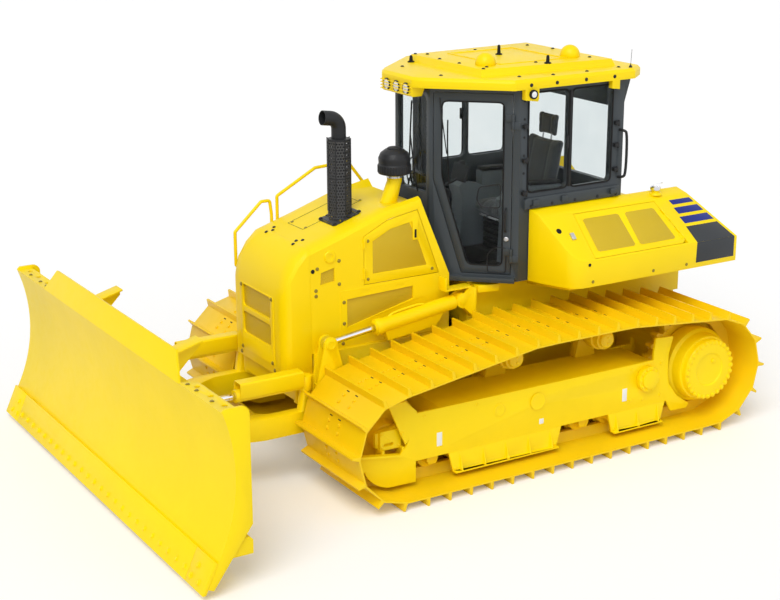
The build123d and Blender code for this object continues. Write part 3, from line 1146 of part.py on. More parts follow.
with BuildPart() as side_boxes:
    with BuildSketch(Plane.XZ.offset(-BODY_REAR)):
        section([(BOX_IN, DECK_Z), (BOX_OUT, DECK_Z), (BOX_OUT, BOX_WAIST), (BOX_FOLD_X, BOX_FOLD_Z),
                 (BOX_IN, BOX_TOP)])
    extrude(amount=BODY_REAR - BOX_FRONT_Y)
    # faceted front with a rounded outer corner
    with BuildSketch(Plane.XY.offset(DECK_Z)):
        with BuildLine():
            a = Polyline((BOX_IN, BOX_FRONT_Y), (934, 793), (1150, 885))
            b = ThreePointArc(a @ 1, (1218, 945), (BOX_OUT, 1040))
            Polyline(b @ 1, (BOX_OUT, BODY_REAR), (BOX_IN, BODY_REAR), a @ 0)
        make_face()
    extrude(amount=BOX_TOP - DECK_Z, mode=Mode.INTERSECT)
    with BuildSketch(Plane.YZ.offset(BOX_IN)):
        section(rear_slope(50))
    extrude(amount=BOX_OUT - BOX_IN, mode=Mode.SUBTRACT)
    # hollow behind the service door
    with BuildSketch(FACE_PLANE):
        section(grown(SERVICE_DOOR, GAP))
    extrude(amount=-60, mode=Mode.SUBTRACT)
    for share in (0.22, 0.68):
        add(service_pin(share, 1))
    mirror(about=Plane.YZ)
side_boxes.part.label = "side_boxes"
export_step(side_boxes.part, "parts/side_boxes.step")

# service doors with two meshed ports
for side, s in SIDES:
    with BuildPart() as service_door:
        with BuildSketch(FACE_PLANE):
            section(SERVICE_LEAF)
        extrude(amount=-SERVICE_T)
        with BuildSketch(FACE_PLANE):
            for u, v, w, h in PORTS:
                with Locations((u, v)):
                    RectangleRounded(w, h, 18)
        extrude(amount=-SERVICE_T + 8, mode=Mode.SUBTRACT)
        for share in (0.22, 0.68):
            add(service_pin(share, -1))
        if s < 0:
            mirror(about=Plane.YZ, mode=Mode.REPLACE)
    service_door.part.label = f"service_door_{side}"
    export_step(service_door.part, f"parts/service_door_{side}.step")

TANK_FRONT = CAB_REAR_Y + 20
with BuildPart() as rear_tank:
    with BuildSketch(Plane.YZ.offset(SEAT - BOX_IN)):
        section([(TANK_FRONT, DECK_Z + SEAT), (BODY_REAR, DECK_Z + SEAT), (BODY_REAR, 1700),
                 (BODY_REAR - 12, 1730), (TANK_FRONT, 2030)])
    extrude(amount=2 * (BOX_IN - SEAT))
    with BuildSketch(Plane.YZ.offset(-BOX_IN)):
        section(rear_slope(350))
    extrude(amount=2 * BOX_IN, mode=Mode.SUBTRACT)
rear_tank.part.label = "rear_tank"
export_step(rear_tank.part, "parts/rear_tank.step")

# handrails on the right side of the hood, bent from tube
TUBE_R = 14.0
RAIL_X = -HOOD_HALF - 30
RAIL_FOOT = -HOOD_HALF - SEAT
RAILS = (
    [(RAIL_FOOT, -1200, 1500), (RAIL_X, -1200, 1500), (RAIL_X, -1330, 1560), (RAIL_X, -1330, 1850),
     (RAIL_X, -1080, 2080), (RAIL_X, -1000, 2080), (RAIL_X, -985, 1960), (RAIL_X, -985, 1830),
     (RAIL_FOOT, -985, 1830)],
    [(RAIL_FOOT, -930, 1840), (RAIL_X, -930, 1840), (RAIL_X, -930, 2110), (RAIL_X, -560, 2310),
     (RAIL_X, -240, 2330), (RAIL_X, -100, 2150), (RAIL_X, -100, 2060), (RAIL_FOOT, -100, 2060)],
)
with BuildPart() as handrails:
    for route in RAILS:
        with BuildLine() as rail:
            FilletPolyline(*route, radius=22)
        with BuildSketch(Plane(origin=route[0], z_dir=(-1, 0, 0))):
            Circle(TUBE_R)
        sweep(path=rail.line)
        for x, y, z in (route[0], route[-1]):
            with BuildSketch(Plane.YZ.offset(x)):
                with Locations((y, z)):
                    Circle(TUBE_R + 10)
            extrude(amount=-6)
handrails.part.label = "handrails"
export_step(handrails.part, "parts/handrails.step")

# ---------------------------------------------------------------- C-frame
NOSE_R = 98.0
NOSE_PIN_R = 45.0         # upright pin of the blade's block
EAR_R = 60.0
EAR_HALF = EYE_T / 2 + GAP + LUG_T
# y from the eye, z
EAR = [(-134.0, ARM_TOP - 1), (191.0, ARM_TOP - 1), (EAR_R, LIFT_EYE[1] - 20), (EAR_R, LIFT_EYE[1]),
       (-EAR_R, LIFT_EYE[1]), (-EAR_R, LIFT_EYE[1] - 20), (-109.0, 900.0), (-134.0, 760.0)]
with BuildPart() as c_frame:
    # curved arm from the trunnion to the nose
    with BuildSketch(Plane.XY.offset(ARM_LOW)):
        with BuildLine():
            a = Line((ARM_OUT, 0), (ARM_OUT, -1640))
            b = ThreePointArc(a @ 1, (480, -1960), (200, -2180))
            c = Polyline(b @ 1, (200, -2280), (0, -2280), (0, -1960), (120, -1960))
            d = ThreePointArc(c @ 1, (360, -1800), (ARM_IN, -1560))
            Polyline(d @ 1, (ARM_IN, 0), a @ 0)
        make_face()
    extrude(amount=ARM_TOP - ARM_LOW)
    # nose fork round the blade's centre block, with the upright pin
    with BuildSketch(Plane.XY.offset(ARM_LOW)):
        with Locations((0, ANGLE_PIVOT_Y)):
            Circle(NOSE_R)
        with Locations((0, ANGLE_PIVOT_Y + 60)):
            Rectangle(2 * NOSE_R, 120)
    extrude(amount=ARM_TOP - ARM_LOW)
    with BuildSketch(Plane.XY.offset(ARM_LOW + 40)):
        with Locations((0, ANGLE_PIVOT_Y - 20)):
            Rectangle(500, 350)
    extrude(amount=ARM_TOP - ARM_LOW - 80, mode=Mode.SUBTRACT)
    with BuildSketch(Plane.XY.offset(ARM_LOW + 1)):
        with Locations((0, ANGLE_PIVOT_Y)):
            Circle(NOSE_PIN_R)
    extrude(amount=ARM_TOP - ARM_LOW - 2)
    # trunnion ring
    with BuildSketch(Plane.YZ.offset(ARM_IN)):
        with Locations(TRUNNION):
            Circle(TRUNNION_R + 50)
        section([(TRUNNION[0], 380), (TRUNNION[0], 580), (-150, ARM_TOP), (-150, ARM_LOW)])
    extrude(amount=ARM_OUT - ARM_IN)
    with BuildSketch(Plane.YZ.offset(ARM_IN - 5)):
        with Locations(TRUNNION):
            Circle(TRUNNION_R + RUN)
    extrude(amount=ARM_OUT - ARM_IN + 10, mode=Mode.SUBTRACT)
    # ears for the lift rod's eye, with pin caps on their outsides
    for x0, cap in ((LIFT_X - EAR_HALF, LIFT_X - EAR_HALF - 8),
                    (LIFT_X + EAR_HALF - LUG_T, LIFT_X + EAR_HALF)):
        with BuildSketch(Plane.YZ.offset(x0)):
            section([(LIFT_EYE[0] + y, z) for y, z in EAR])
            with Locations(LIFT_EYE):
                Circle(EAR_R)
        extrude(amount=LUG_T)
        with BuildSketch(Plane.YZ.offset(cap)):
            with Locations(LIFT_EYE):
                Circle(48)
        extrude(amount=8)
    with BuildSketch(Plane.XY.offset(ARM_TOP - 60)):
        with Locations((LIFT_X, LIFT_EYE[0] + 28)):
            Rectangle(2 * EAR_HALF, 325)
    extrude(amount=75)
    # cross plate between the ears ahead of the rod
    with BuildSketch(Plane.XY.offset(ARM_TOP)):
        section([(LIFT_X - EAR_HALF, LIFT_EYE[0] - 118), (LIFT_X + EAR_HALF, LIFT_EYE[0] - 118),
                 (LIFT_X + EAR_HALF, LIFT_EYE[0] - 98), (LIFT_X - EAR_HALF, LIFT_EYE[0] - 98)])
    extrude(amount=200)
    # rear bracket of the angle cylinder
    with BuildSketch(Plane.XY.offset(ARM_TOP - 1)):
        with Locations((ANGLE_X, ANGLE_PIN_Y)):
            RectangleRounded(96, 130, 30)
    with BuildSketch(Plane.XY.offset(ANGLE_Z - 60 - SEAT)):
        with Locations((ANGLE_X, ANGLE_PIN_Y)):
            RectangleRounded(80, 80, 30)
    loft(ruled=True)
    split(bisect_by=Plane.YZ, keep=Keep.TOP)
    mirror(about=Plane.YZ)
c_frame.part.label = "c_frame"
export_step(c_frame.part, "parts/c_frame.step")

# angle cylinder barrels under channel guards, on the C-frame
with BuildPart() as angle_barrels:
    with BuildSketch(Plane.XZ.offset(-ANGLE_PIN_Y + 30)):
        with Locations((ANGLE_X, ANGLE_Z)):
            Circle(ANGLE_R)
    extrude(amount=ANGLE_PIN_Y - ANGLE_MOUTH_Y - 30)
    with BuildSketch(Plane.XY.offset(ANGLE_Z - 60)):
        with Locations((ANGLE_X, ANGLE_PIN_Y)):
            Circle(ANGLE_R + 3)
    extrude(amount=120)
    with BuildSketch(Plane.XZ.offset(-ANGLE_MOUTH_Y - 30)):
        section([(ANGLE_X - 60, ANGLE_Z - 10), (ANGLE_X - 50, ANGLE_Z - 10), (ANGLE_X - 50, ANGLE_Z + 104),
                 (ANGLE_X + 50, ANGLE_Z + 104), (ANGLE_X + 50, ANGLE_Z - 10), (ANGLE_X + 60, ANGLE_Z - 10),
                 (ANGLE_X + 60, ANGLE_Z + 100), (ANGLE_X + 48, ANGLE_Z + 112), (ANGLE_X - 48, ANGLE_Z + 112),
                 (ANGLE_X - 60, ANGLE_Z + 100)])
    extrude(amount=-560)
    # bore for the rod
    with BuildSketch(Plane.XZ.offset(-ANGLE_MOUTH_Y)):
        with Locations((ANGLE_X, ANGLE_Z)):
            Circle(ROD_R + SEAT)
    extrude(amount=-590, mode=Mode.SUBTRACT)
    mirror(about=Plane.YZ)
angle_barrels.part.label = "angle_barrels"
export_step(angle_barrels.part, "parts/angle_barrels.step")

for side, s in SIDES:
    with BuildPart() as angle_rod:
        with BuildSketch(Plane.XZ.offset(-ANGLE_MOUTH_Y - 300)):
            with Locations((s * ANGLE_X, ANGLE_Z)):
                Circle(ROD_R)
        extrude(amount=ANGLE_MOUTH_Y + 300 - ANGLE_PIVOT_Y - 30)
        with BuildSketch(Plane.XY.offset(ANGLE_Z - EYE_T / 2)):
            with Locations((s * ANGLE_X, ANGLE_PIVOT_Y)):
                Circle(52)
        extrude(amount=EYE_T)
    angle_rod.part.label = f"angle_rod_{side}"
    export_step(angle_rod.part, f"parts/angle_rod_{side}.step")

# lift cylinders
LIFT_LEN = math.hypot(LIFT_EYE[0] - LIFT_PIN[0], LIFT_EYE[1] - LIFT_PIN[1])
LIFT_DIR = ((LIFT_EYE[0] - LIFT_PIN[0]) / LIFT_LEN, (LIFT_EYE[1] - LIFT_PIN[1]) / LIFT_LEN)
GUARD_BOX = [(-548.0, 1185.0), (-501.0, 1062.0), (-38.0, 1113.0), (69.0, 1270.0)]     # y, z


def along_lift(s, distance):
    """Plane across the lift cylinder's axis, at a distance from its rear pin."""
    return Plane(origin=(s * LIFT_X, LIFT_PIN[0] + LIFT_DIR[0] * distance,
                         LIFT_PIN[1] + LIFT_DIR[1] * distance),
                 x_dir=(1, 0, 0), z_dir=(0, LIFT_DIR[0], LIFT_DIR[1]))


for side, s in SIDES:
    with BuildPart() as lift_barrel:
        with BuildSketch(along_lift(s, 66)):
            Circle(LIFT_R)
        extrude(amount=LIFT_BARREL - 66)
        with BuildSketch(along_lift(s, LIFT_BARREL - 60)):
            Circle(LIFT_R + 6)
        extrude(amount=60)
        # guard under the barrel for its pipes
        with BuildSketch(Plane.YZ.offset(s * LIFT_X - 34)):
            section(GUARD_BOX)
        extrude(amount=68)
        with BuildSketch(along_lift(s, 40)):
            Rectangle(EYE_T, 80)
        extrude(amount=30)
        with BuildSketch(Plane.YZ.offset(s * LIFT_X - EYE_T / 2)):
            with Locations(LIFT_PIN):
                Circle(60)
        extrude(amount=EYE_T)
        with BuildSketch(Plane.YZ.offset(s * LIFT_X - EYE_T / 2 - 2)):
            with Locations(LIFT_PIN):
                Circle(LIFT_PIN_R + RUN)
        extrude(amount=EYE_T + 4, mode=Mode.SUBTRACT)
        with BuildSketch(along_lift(s, LIFT_BARREL)):
            Circle(ROD_R + SEAT)
        extrude(amount=-LIFT_BARREL + 120, mode=Mode.SUBTRACT)
    lift_barrel.part.label = f"lift_barrel_{side}"
    export_step(lift_barrel.part, f"parts/lift_barrel_{side}.step")
    with BuildPart() as lift_rod:
        with BuildSketch(along_lift(s, LIFT_BARREL - 330)):
            Circle(ROD_R)
        extrude(amount=LIFT_LEN - LIFT_BARREL + 330 - 50)
        with BuildSketch(Plane.YZ.offset(s * LIFT_X - EYE_T / 2)):
            with Locations(LIFT_EYE):
                Circle(56)
        extrude(amount=EYE_T)
    lift_rod.part.label = f"lift_rod_{side}"
    export_step(lift_rod.part, f"parts/lift_rod_{side}.step")

# ---------------------------------------------------------------- blade trunnion block
FORK = EYE_T / 2 + GAP
UPRIGHT_Y = ANGLE_PIVOT_Y - NOSE_R - 7      # rear face of the upright
UPRIGHT_T = 50.0
SHAFT_R = 60.0                              # tilt shaft
CLEVIS_T, CLEVIS_R = 18.0, 52.0
UPRIGHT = [(-150, 380), (150, 380), (150, 740), (175, 770), (ANGLE_X - 40, 780), (ANGLE_X + 12, 800),
           (ANGLE_X + 12, 860), (ANGLE_X - 40, 880), (240, 900), (200, 940), (200, 1110), (180, 1130),
           (120, 1130), (100, 1110), (60, 900), (-240, 900), (40 - ANGLE_X, 880), (-ANGLE_X - 12, 860),
           (-ANGLE_X - 12, 800), (40 - ANGLE_X, 780), (-175, 770), (-150, 740)]      # x, z
with BuildPart() as blade_trunnion:
    with BuildSketch(Plane.XY.offset(ARM_LOW + 40 + GAP)):
        with Locations((0, ANGLE_PIVOT_Y)):
            Circle(NOSE_R)
        with Locations((0, ANGLE_PIVOT_Y - NOSE_R / 2 - 5)):
            Rectangle(2 * NOSE_R, NOSE_R + 10)
    extrude(amount=ARM_TOP - ARM_LOW - 80 - 2 * GAP)
    with BuildSketch(Plane.XY.offset(ARM_LOW)):
        with Locations((0, ANGLE_PIVOT_Y)):
            Circle(NOSE_PIN_R + RUN)
    extrude(amount=ARM_TOP - ARM_LOW, mode=Mode.SUBTRACT)
    # upright behind the blade with the cross arms of the angle cylinders
    with BuildSketch(Plane.XZ.offset(-UPRIGHT_Y)):
        section(UPRIGHT)
    extrude(amount=UPRIGHT_T)
    # tilt shaft into the blade's boss
    with BuildSketch(Plane.XZ.offset(-UPRIGHT_Y + 20)):
        with Locations((0, TILT_Z)):
            Circle(SHAFT_R)
    extrude(amount=UPRIGHT_T + 70)
    for s in (1, -1):
        for z in (ANGLE_Z - FORK - CLEVIS_T, ANGLE_Z + FORK):
            with BuildSketch(Plane.XY.offset(z)):
                with Locations((s * ANGLE_X, (ANGLE_PIVOT_Y + UPRIGHT_Y) / 2)):
                    Rectangle(2 * CLEVIS_R, ANGLE_PIVOT_Y - UPRIGHT_Y + 2)
                with Locations((s * ANGLE_X, ANGLE_PIVOT_Y)):
                    Circle(CLEVIS_R)
            extrude(amount=CLEVIS_T)
        # pin cap on top of each clevis
        with BuildSketch(Plane.XY.offset(ANGLE_Z + FORK + CLEVIS_T - 1)):
            with Locations((s * ANGLE_X, ANGLE_PIVOT_Y)):
                Circle(36)
        extrude(amount=9)
    # pin of the tilt cylinder
    with BuildSketch(Plane.XZ.offset(-TILT_Y - 45)):
        with Locations((TILT_PIN_X, TILT_CYL_Z)):
            Circle(TILT_PIN_R)
    extrude(amount=TILT_Y + 45 - UPRIGHT_Y + 10)
blade_trunnion.part.label = "blade_trunnion"
export_step(blade_trunnion.part, "parts/blade_trunnion.step")

# tilt cylinder, crosswise behind the upright
TILT_MOUTH = 475.0        # pin to the mouth of the barrel
with BuildPart() as tilt_barrel:
    with BuildSketch(Plane.YZ.offset(TILT_PIN_X - 45)):
        with Locations((TILT_Y, TILT_CYL_Z)):
            Circle(TILT_R)
    extrude(amount=45 - TILT_MOUTH)
    with BuildSketch(Plane.YZ.offset(TILT_PIN_X - TILT_MOUTH)):
        with Locations((TILT_Y, TILT_CYL_Z)):
            Circle(TILT_R + 5)
    extrude(amount=45)
    with BuildSketch(Plane.XZ.offset(-TILT_Y - EYE_T / 2)):
        with Locations((TILT_PIN_X, TILT_CYL_Z)):
            Circle(52)
            Circle(TILT_PIN_R + RUN, mode=Mode.SUBTRACT)
    extrude(amount=EYE_T)
    with BuildSketch(Plane.YZ.offset(TILT_PIN_X - TILT_MOUTH)):
        with Locations((TILT_Y, TILT_CYL_Z)):
            Circle(ROD_R + SEAT)
    extrude(amount=380, mode=Mode.SUBTRACT)
tilt_barrel.part.label = "tilt_barrel"
export_step(tilt_barrel.part, "parts/tilt_barrel.step")

with BuildPart() as tilt_rod:
    with BuildSketch(Plane.YZ.offset(TILT_EYE_X + 45)):
        with Locations((TILT_Y, TILT_CYL_Z)):
            Circle(ROD_R)
    extrude(amount=520)
    with BuildSketch(Plane.XZ.offset(-TILT_Y - EYE_T / 2)):
        with Locations((TILT_EYE_X, TILT_CYL_Z)):
            Circle(50)
    extrude(amount=EYE_T)
tilt_rod.part.label = "tilt_rod"
export_step(tilt_rod.part, "parts/tilt_rod.step")

# ---------------------------------------------------------------- blade
# face of the mouldboard in y, z: one arc from its top edge to its foot
FACE_TOP = (-2703.0, BLADE_TOP)
FACE_MID = (-2621.0, 797.0)
FACE_LOW = (-2763.0, 282.0)
SIDE_T, SIDE_RISE = 25.0, 23.0     # side plates and their height over the mouldboard
FOOT_L = 190.0                     # length of the flat foot behind the cutting edge
FLANGE_T, FLANGE_D = 12.0, 130.0   # turned-back flanges of the top edge
SPILL_FOOT, SPILL_HEAD, SPILL_H = 1394.0, 1215.0, 201.0    # half widths and slant height
SPILL_LEAN = (63.0, 191.0)         # y, z direction of the spill plate


def foot_frame():
    """Unit vectors down the foot of the blade and out of its front."""
    n = (0.0, 0.0)
    for _ in range(4):
        d = (BLADE_TIP_Y - FACE_LOW[0] - n[0] * EDGE_T, BLADE_LOW - FACE_LOW[1] - n[1] * EDGE_T)
        length = math.hypot(*d)
        d = (d[0] / length, d[1] / length)
        n = (d[1], -d[0])
    return d, n


FOOT_D, FOOT_N = foot_frame()


def foot(down, out):
    """Point at a distance down the foot and out of its front face."""
    return (FACE_LOW[0] + FOOT_D[0] * down + FOOT_N[0] * out,
            FACE_LOW[1] + FOOT_D[1] * down + FOOT_N[1] * out)


def back(shift):
    """Three points of the arc of the mouldboard's back, moved rearwards by shift."""
    return ((FACE_TOP[0] + 18 + shift, FACE_TOP[1]), (FACE_MID[0] + BLADE_T + shift, FACE_MID[1]),
            (FACE_LOW[0] + 22 + shift, FACE_LOW[1] - 5))


SPILL_PLANE = Plane(origin=(0, *FACE_TOP), x_dir=(1, 0, 0), z_dir=(0, -SPILL_LEAN[1], SPILL_LEAN[0]))
with BuildPart() as blade:
    with BuildSketch(Plane.YZ.offset(-BLADE_HALF)):
        with BuildLine():
            a = ThreePointArc(FACE_TOP, FACE_MID, FACE_LOW)
            b = Polyline(a @ 1, foot(FOOT_L, 0), foot(FOOT_L, -BLADE_T), back(0)[2])
            c = ThreePointArc(b @ 1, back(0)[1], back(0)[0])
            Line(c @ 1, a @ 0)
        make_face()
    extrude(amount=2 * BLADE_HALF)
    # side plates with a rounded rear corner
    for x in (-BLADE_HALF, BLADE_HALF - SIDE_T):
        with BuildSketch(Plane.YZ.offset(x)):
            with BuildLine():
                a = ThreePointArc(FACE_TOP, FACE_MID, FACE_LOW)
                b = Polyline(a @ 1, foot(215, 0), foot(215, -45), (-2500, 500), (-2500, BLADE_TOP - 40))
                c = ThreePointArc(b @ 1, (-2518, BLADE_TOP + 5), (-2563, BLADE_TOP + SIDE_RISE))
                Polyline(c @ 1, (-2680, BLADE_TOP + SIDE_RISE), a @ 0)
            make_face()
        extrude(amount=SIDE_T)
    # spill plate that leans back over the middle
    with BuildSketch(SPILL_PLANE):
        section([(-SPILL_FOOT, -6), (SPILL_FOOT, -6), (SPILL_HEAD, SPILL_H), (-SPILL_HEAD, SPILL_H)])
    extrude(amount=-BLADE_T)
    # flanges of the top edge beside it, each with three holes
    for s in (1, -1):
        with BuildSketch(Plane.XY.offset(BLADE_TOP - FLANGE_T)):
            inner, outer = s * SPILL_FOOT, s * (BLADE_HALF - SIDE_T + 1)
            section([(inner, FACE_TOP[0] + 8), (outer, FACE_TOP[0] + 8), (outer, FACE_TOP[0] + FLANGE_D),
                     (inner + s * 40, FACE_TOP[0] + FLANGE_D), (inner, FACE_TOP[0] + FLANGE_D - 60)])
            with Locations(*[(s * x, FACE_TOP[0] + 80) for x in (1530, 1750, 1970)]):
                Circle(22, mode=Mode.SUBTRACT)
        extrude(amount=FLANGE_T)
blade.part.label = "blade"
export_step(blade.part, "parts/blade.step")

# stiffening frame on the mouldboard's back
RIB_T = 24.0
RIB_X = (330.0, 900.0, 1500.0)
BEAMS = ((265.0, 395.0), (TILT_CYL_Z + 40, 1250.0))     # z from, z to
RIB_TOP = BLADE_TOP - FLANGE_T - 3
BOSS_R = 120.0
BRACKET_X, BRACKET_HALF = 785.0, 70.0
BRACKET_END = (-2262.0, 1440.0)       # y, z of the raised brackets' rear edge
EAR_T = 20.0
with BuildPart() as blade_frame:
    for x in RIB_X:
        with BuildSketch(Plane.YZ.offset(x - RIB_T / 2)):
            with BuildLine():
                a = Polyline((-2760, RIB_TOP), (-2760, 265), (BLADE_BACK - 60, 250), (BLADE_BACK, 330),
                             (BLADE_BACK, BEAMS[0][1]))
                b = ThreePointArc(a @ 1, (BLADE_BACK - 70, 760), (BLADE_BACK, BEAMS[1][0]))
                Polyline(b @ 1, (BLADE_BACK, 1250), (BLADE_BACK - 80, RIB_TOP), a @ 0)
            make_face()
        extrude(amount=RIB_T)
    # box beams
    for z0, z1 in BEAMS:
        with BuildSketch(Plane.YZ):
            section([(-2760, z0), (BLADE_BACK, z0), (BLADE_BACK, z1 - 25), (BLADE_BACK - 25, z1),
                     (-2760, z1)])
        extrude(amount=BLADE_HALF - SIDE_T - SEAT)
    # raised brackets: a gusset under a sloping flange
    with BuildSketch(Plane.YZ.offset(BRACKET_X - 10)):
        section([(-2680, RIB_TOP - 10), (-2640, 1150), (BLADE_BACK, 1150),
                 (BRACKET_END[0], BRACKET_END[1] - 60),
                 (BRACKET_END[0], BRACKET_END[1] - 4), (-2600, RIB_TOP - 10)])
    extrude(amount=20)
    with BuildSketch(Plane.YZ.offset(BRACKET_X - BRACKET_HALF)):
        section([(-2640, RIB_TOP - 14), (-2640, RIB_TOP), (BRACKET_END[0], BRACKET_END[1]),
                 (BRACKET_END[0], BRACKET_END[1] - 14)])
    extrude(amount=2 * BRACKET_HALF)
    mirror(about=Plane.YZ)
    # web and boss of the tilt shaft
    with BuildSketch(Plane.XZ.offset(-BLADE_BACK)):
        section([(-RIB_X[0], 380), (RIB_X[0], 380), (RIB_X[0], 560), (160, 640), (-160, 640),
                 (-RIB_X[0], 560)])
    extrude(amount=20)
    with BuildSketch(Plane.XZ.offset(-BLADE_BACK)):
        with Locations((0, TILT_Z)):
            Circle(BOSS_R)
    extrude(amount=130)
    with BuildSketch(Plane.XZ.offset(-BLADE_BACK - 6)):
        with Locations((0, TILT_Z)):
            Circle(SHAFT_R + RUN)
    extrude(amount=95, mode=Mode.SUBTRACT)
    with BuildSketch(Plane.XZ.offset(-BLADE_BACK + 1)):
        with Locations((0, TILT_Z)):
            Circle(SHAFT_R + RUN)
    extrude(amount=95, mode=Mode.SUBTRACT)
    # ear of the tilt rod
    near, far = TILT_Y + FORK, TILT_Y - FORK
    with BuildSketch(Plane.XY.offset(TILT_CYL_Z - 60)):
        section([(TILT_EYE_X + 55, BLADE_BACK - 10), (TILT_EYE_X - 95, BLADE_BACK - 10),
                 (TILT_EYE_X - 95, near + EAR_T), (TILT_EYE_X + 55, near + EAR_T), (TILT_EYE_X + 55, near),
                 (TILT_EYE_X - 75, near), (TILT_EYE_X - 75, far), (TILT_EYE_X + 55, far)])
    extrude(amount=120)
    # the frame's front follows the mouldboard
    with BuildSketch(Plane.YZ.offset(-BLADE_HALF)):
        with BuildLine():
            a = ThreePointArc(*back(SEAT))
            Polyline(a @ 1, foot(FOOT_L, -BLADE_T - SEAT), (-3000, 0), (-3000, BLADE_TOP), a @ 0)
        make_face()
    extrude(amount=2 * BLADE_HALF, mode=Mode.SUBTRACT)
blade_frame.part.label = "blade_frame"
export_step(blade_frame.part, "parts/blade_frame.step")

# cutting edge with an end bit at each side, bolted to the blade's foot
EDGE_DOWN = (FACE_LOW[1] - BLADE_LOW) / -FOOT_D[1]
END_BIT = 300.0
with BuildPart() as cutting_edge:
    for x0, x1 in ((END_BIT + 2 - BLADE_HALF, BLADE_HALF - END_BIT - 2), (-BLADE_HALF, END_BIT - BLADE_HALF),
                   (BLADE_HALF - END_BIT, BLADE_HALF)):
        with BuildSketch(Plane.YZ.offset(x0)):
            section([foot(15, 0), foot(15, EDGE_T), (BLADE_TIP_Y, BLADE_LOW), foot(EDGE_DOWN, 0)])
        extrude(amount=x1 - x0)
cutting_edge.part.label = "cutting_edge"
export_step(cutting_edge.part, "parts/cutting_edge.step")
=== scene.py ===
"""Crawler bulldozer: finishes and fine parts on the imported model.

Every length is in metres. Forward is -Y, the machine's left is +X and up is +Z.
"""
import logging
import math
from collections.abc import Sequence
from dataclasses import dataclass
from enum import Enum

import bpy
from mathutils import Matrix, Vector
from mathutils.bvhtree import BVHTree


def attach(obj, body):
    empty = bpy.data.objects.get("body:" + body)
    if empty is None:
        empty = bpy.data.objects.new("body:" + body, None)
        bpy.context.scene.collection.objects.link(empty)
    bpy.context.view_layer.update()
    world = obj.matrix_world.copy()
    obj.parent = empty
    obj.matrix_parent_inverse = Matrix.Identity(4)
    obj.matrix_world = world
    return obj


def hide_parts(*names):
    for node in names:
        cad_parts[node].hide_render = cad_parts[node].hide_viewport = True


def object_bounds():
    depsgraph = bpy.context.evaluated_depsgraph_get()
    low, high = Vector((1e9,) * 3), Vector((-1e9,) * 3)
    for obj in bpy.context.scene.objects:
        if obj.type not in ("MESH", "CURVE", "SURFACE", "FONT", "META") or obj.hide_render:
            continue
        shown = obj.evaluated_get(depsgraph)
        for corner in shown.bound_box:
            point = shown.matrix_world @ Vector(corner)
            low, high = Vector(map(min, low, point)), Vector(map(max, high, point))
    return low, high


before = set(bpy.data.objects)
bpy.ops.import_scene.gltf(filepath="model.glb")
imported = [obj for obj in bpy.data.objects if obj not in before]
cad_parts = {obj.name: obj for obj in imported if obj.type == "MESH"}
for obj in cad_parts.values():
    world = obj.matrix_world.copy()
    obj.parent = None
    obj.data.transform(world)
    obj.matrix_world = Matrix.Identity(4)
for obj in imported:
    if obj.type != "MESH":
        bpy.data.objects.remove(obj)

CAD_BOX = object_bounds()
LOG = logging.getLogger("bulldozer")
logging.basicConfig(level=logging.INFO, format="%(name)s: %(message)s")

Colour = tuple[float, float, float, float]
Point = tuple[float, float, float]
Triple = Sequence[float]
Profile = Sequence[tuple[float, float]]
SIDES: tuple[tuple[str, int], ...] = (("left", 1), ("right", -1))


def srgb(red: int, green: int, blue: int) -> Colour:
    """Turn an 8-bit display colour into the linear colour that shaders take.

    Args:
        red: Red from 0 to 255.
        green: Green from 0 to 255.
        blue: Blue from 0 to 255.

    Returns:
        Linear red, green, blue and an alpha of 1.
    """
    def linear(value: int) -> float:
        """Linear value of one display channel."""
        c = value / 255
        return c / 12.92 if c <= 0.04045 else ((c + 0.055) / 1.055) ** 2.4

    return (linear(red), linear(green), linear(blue), 1.0)


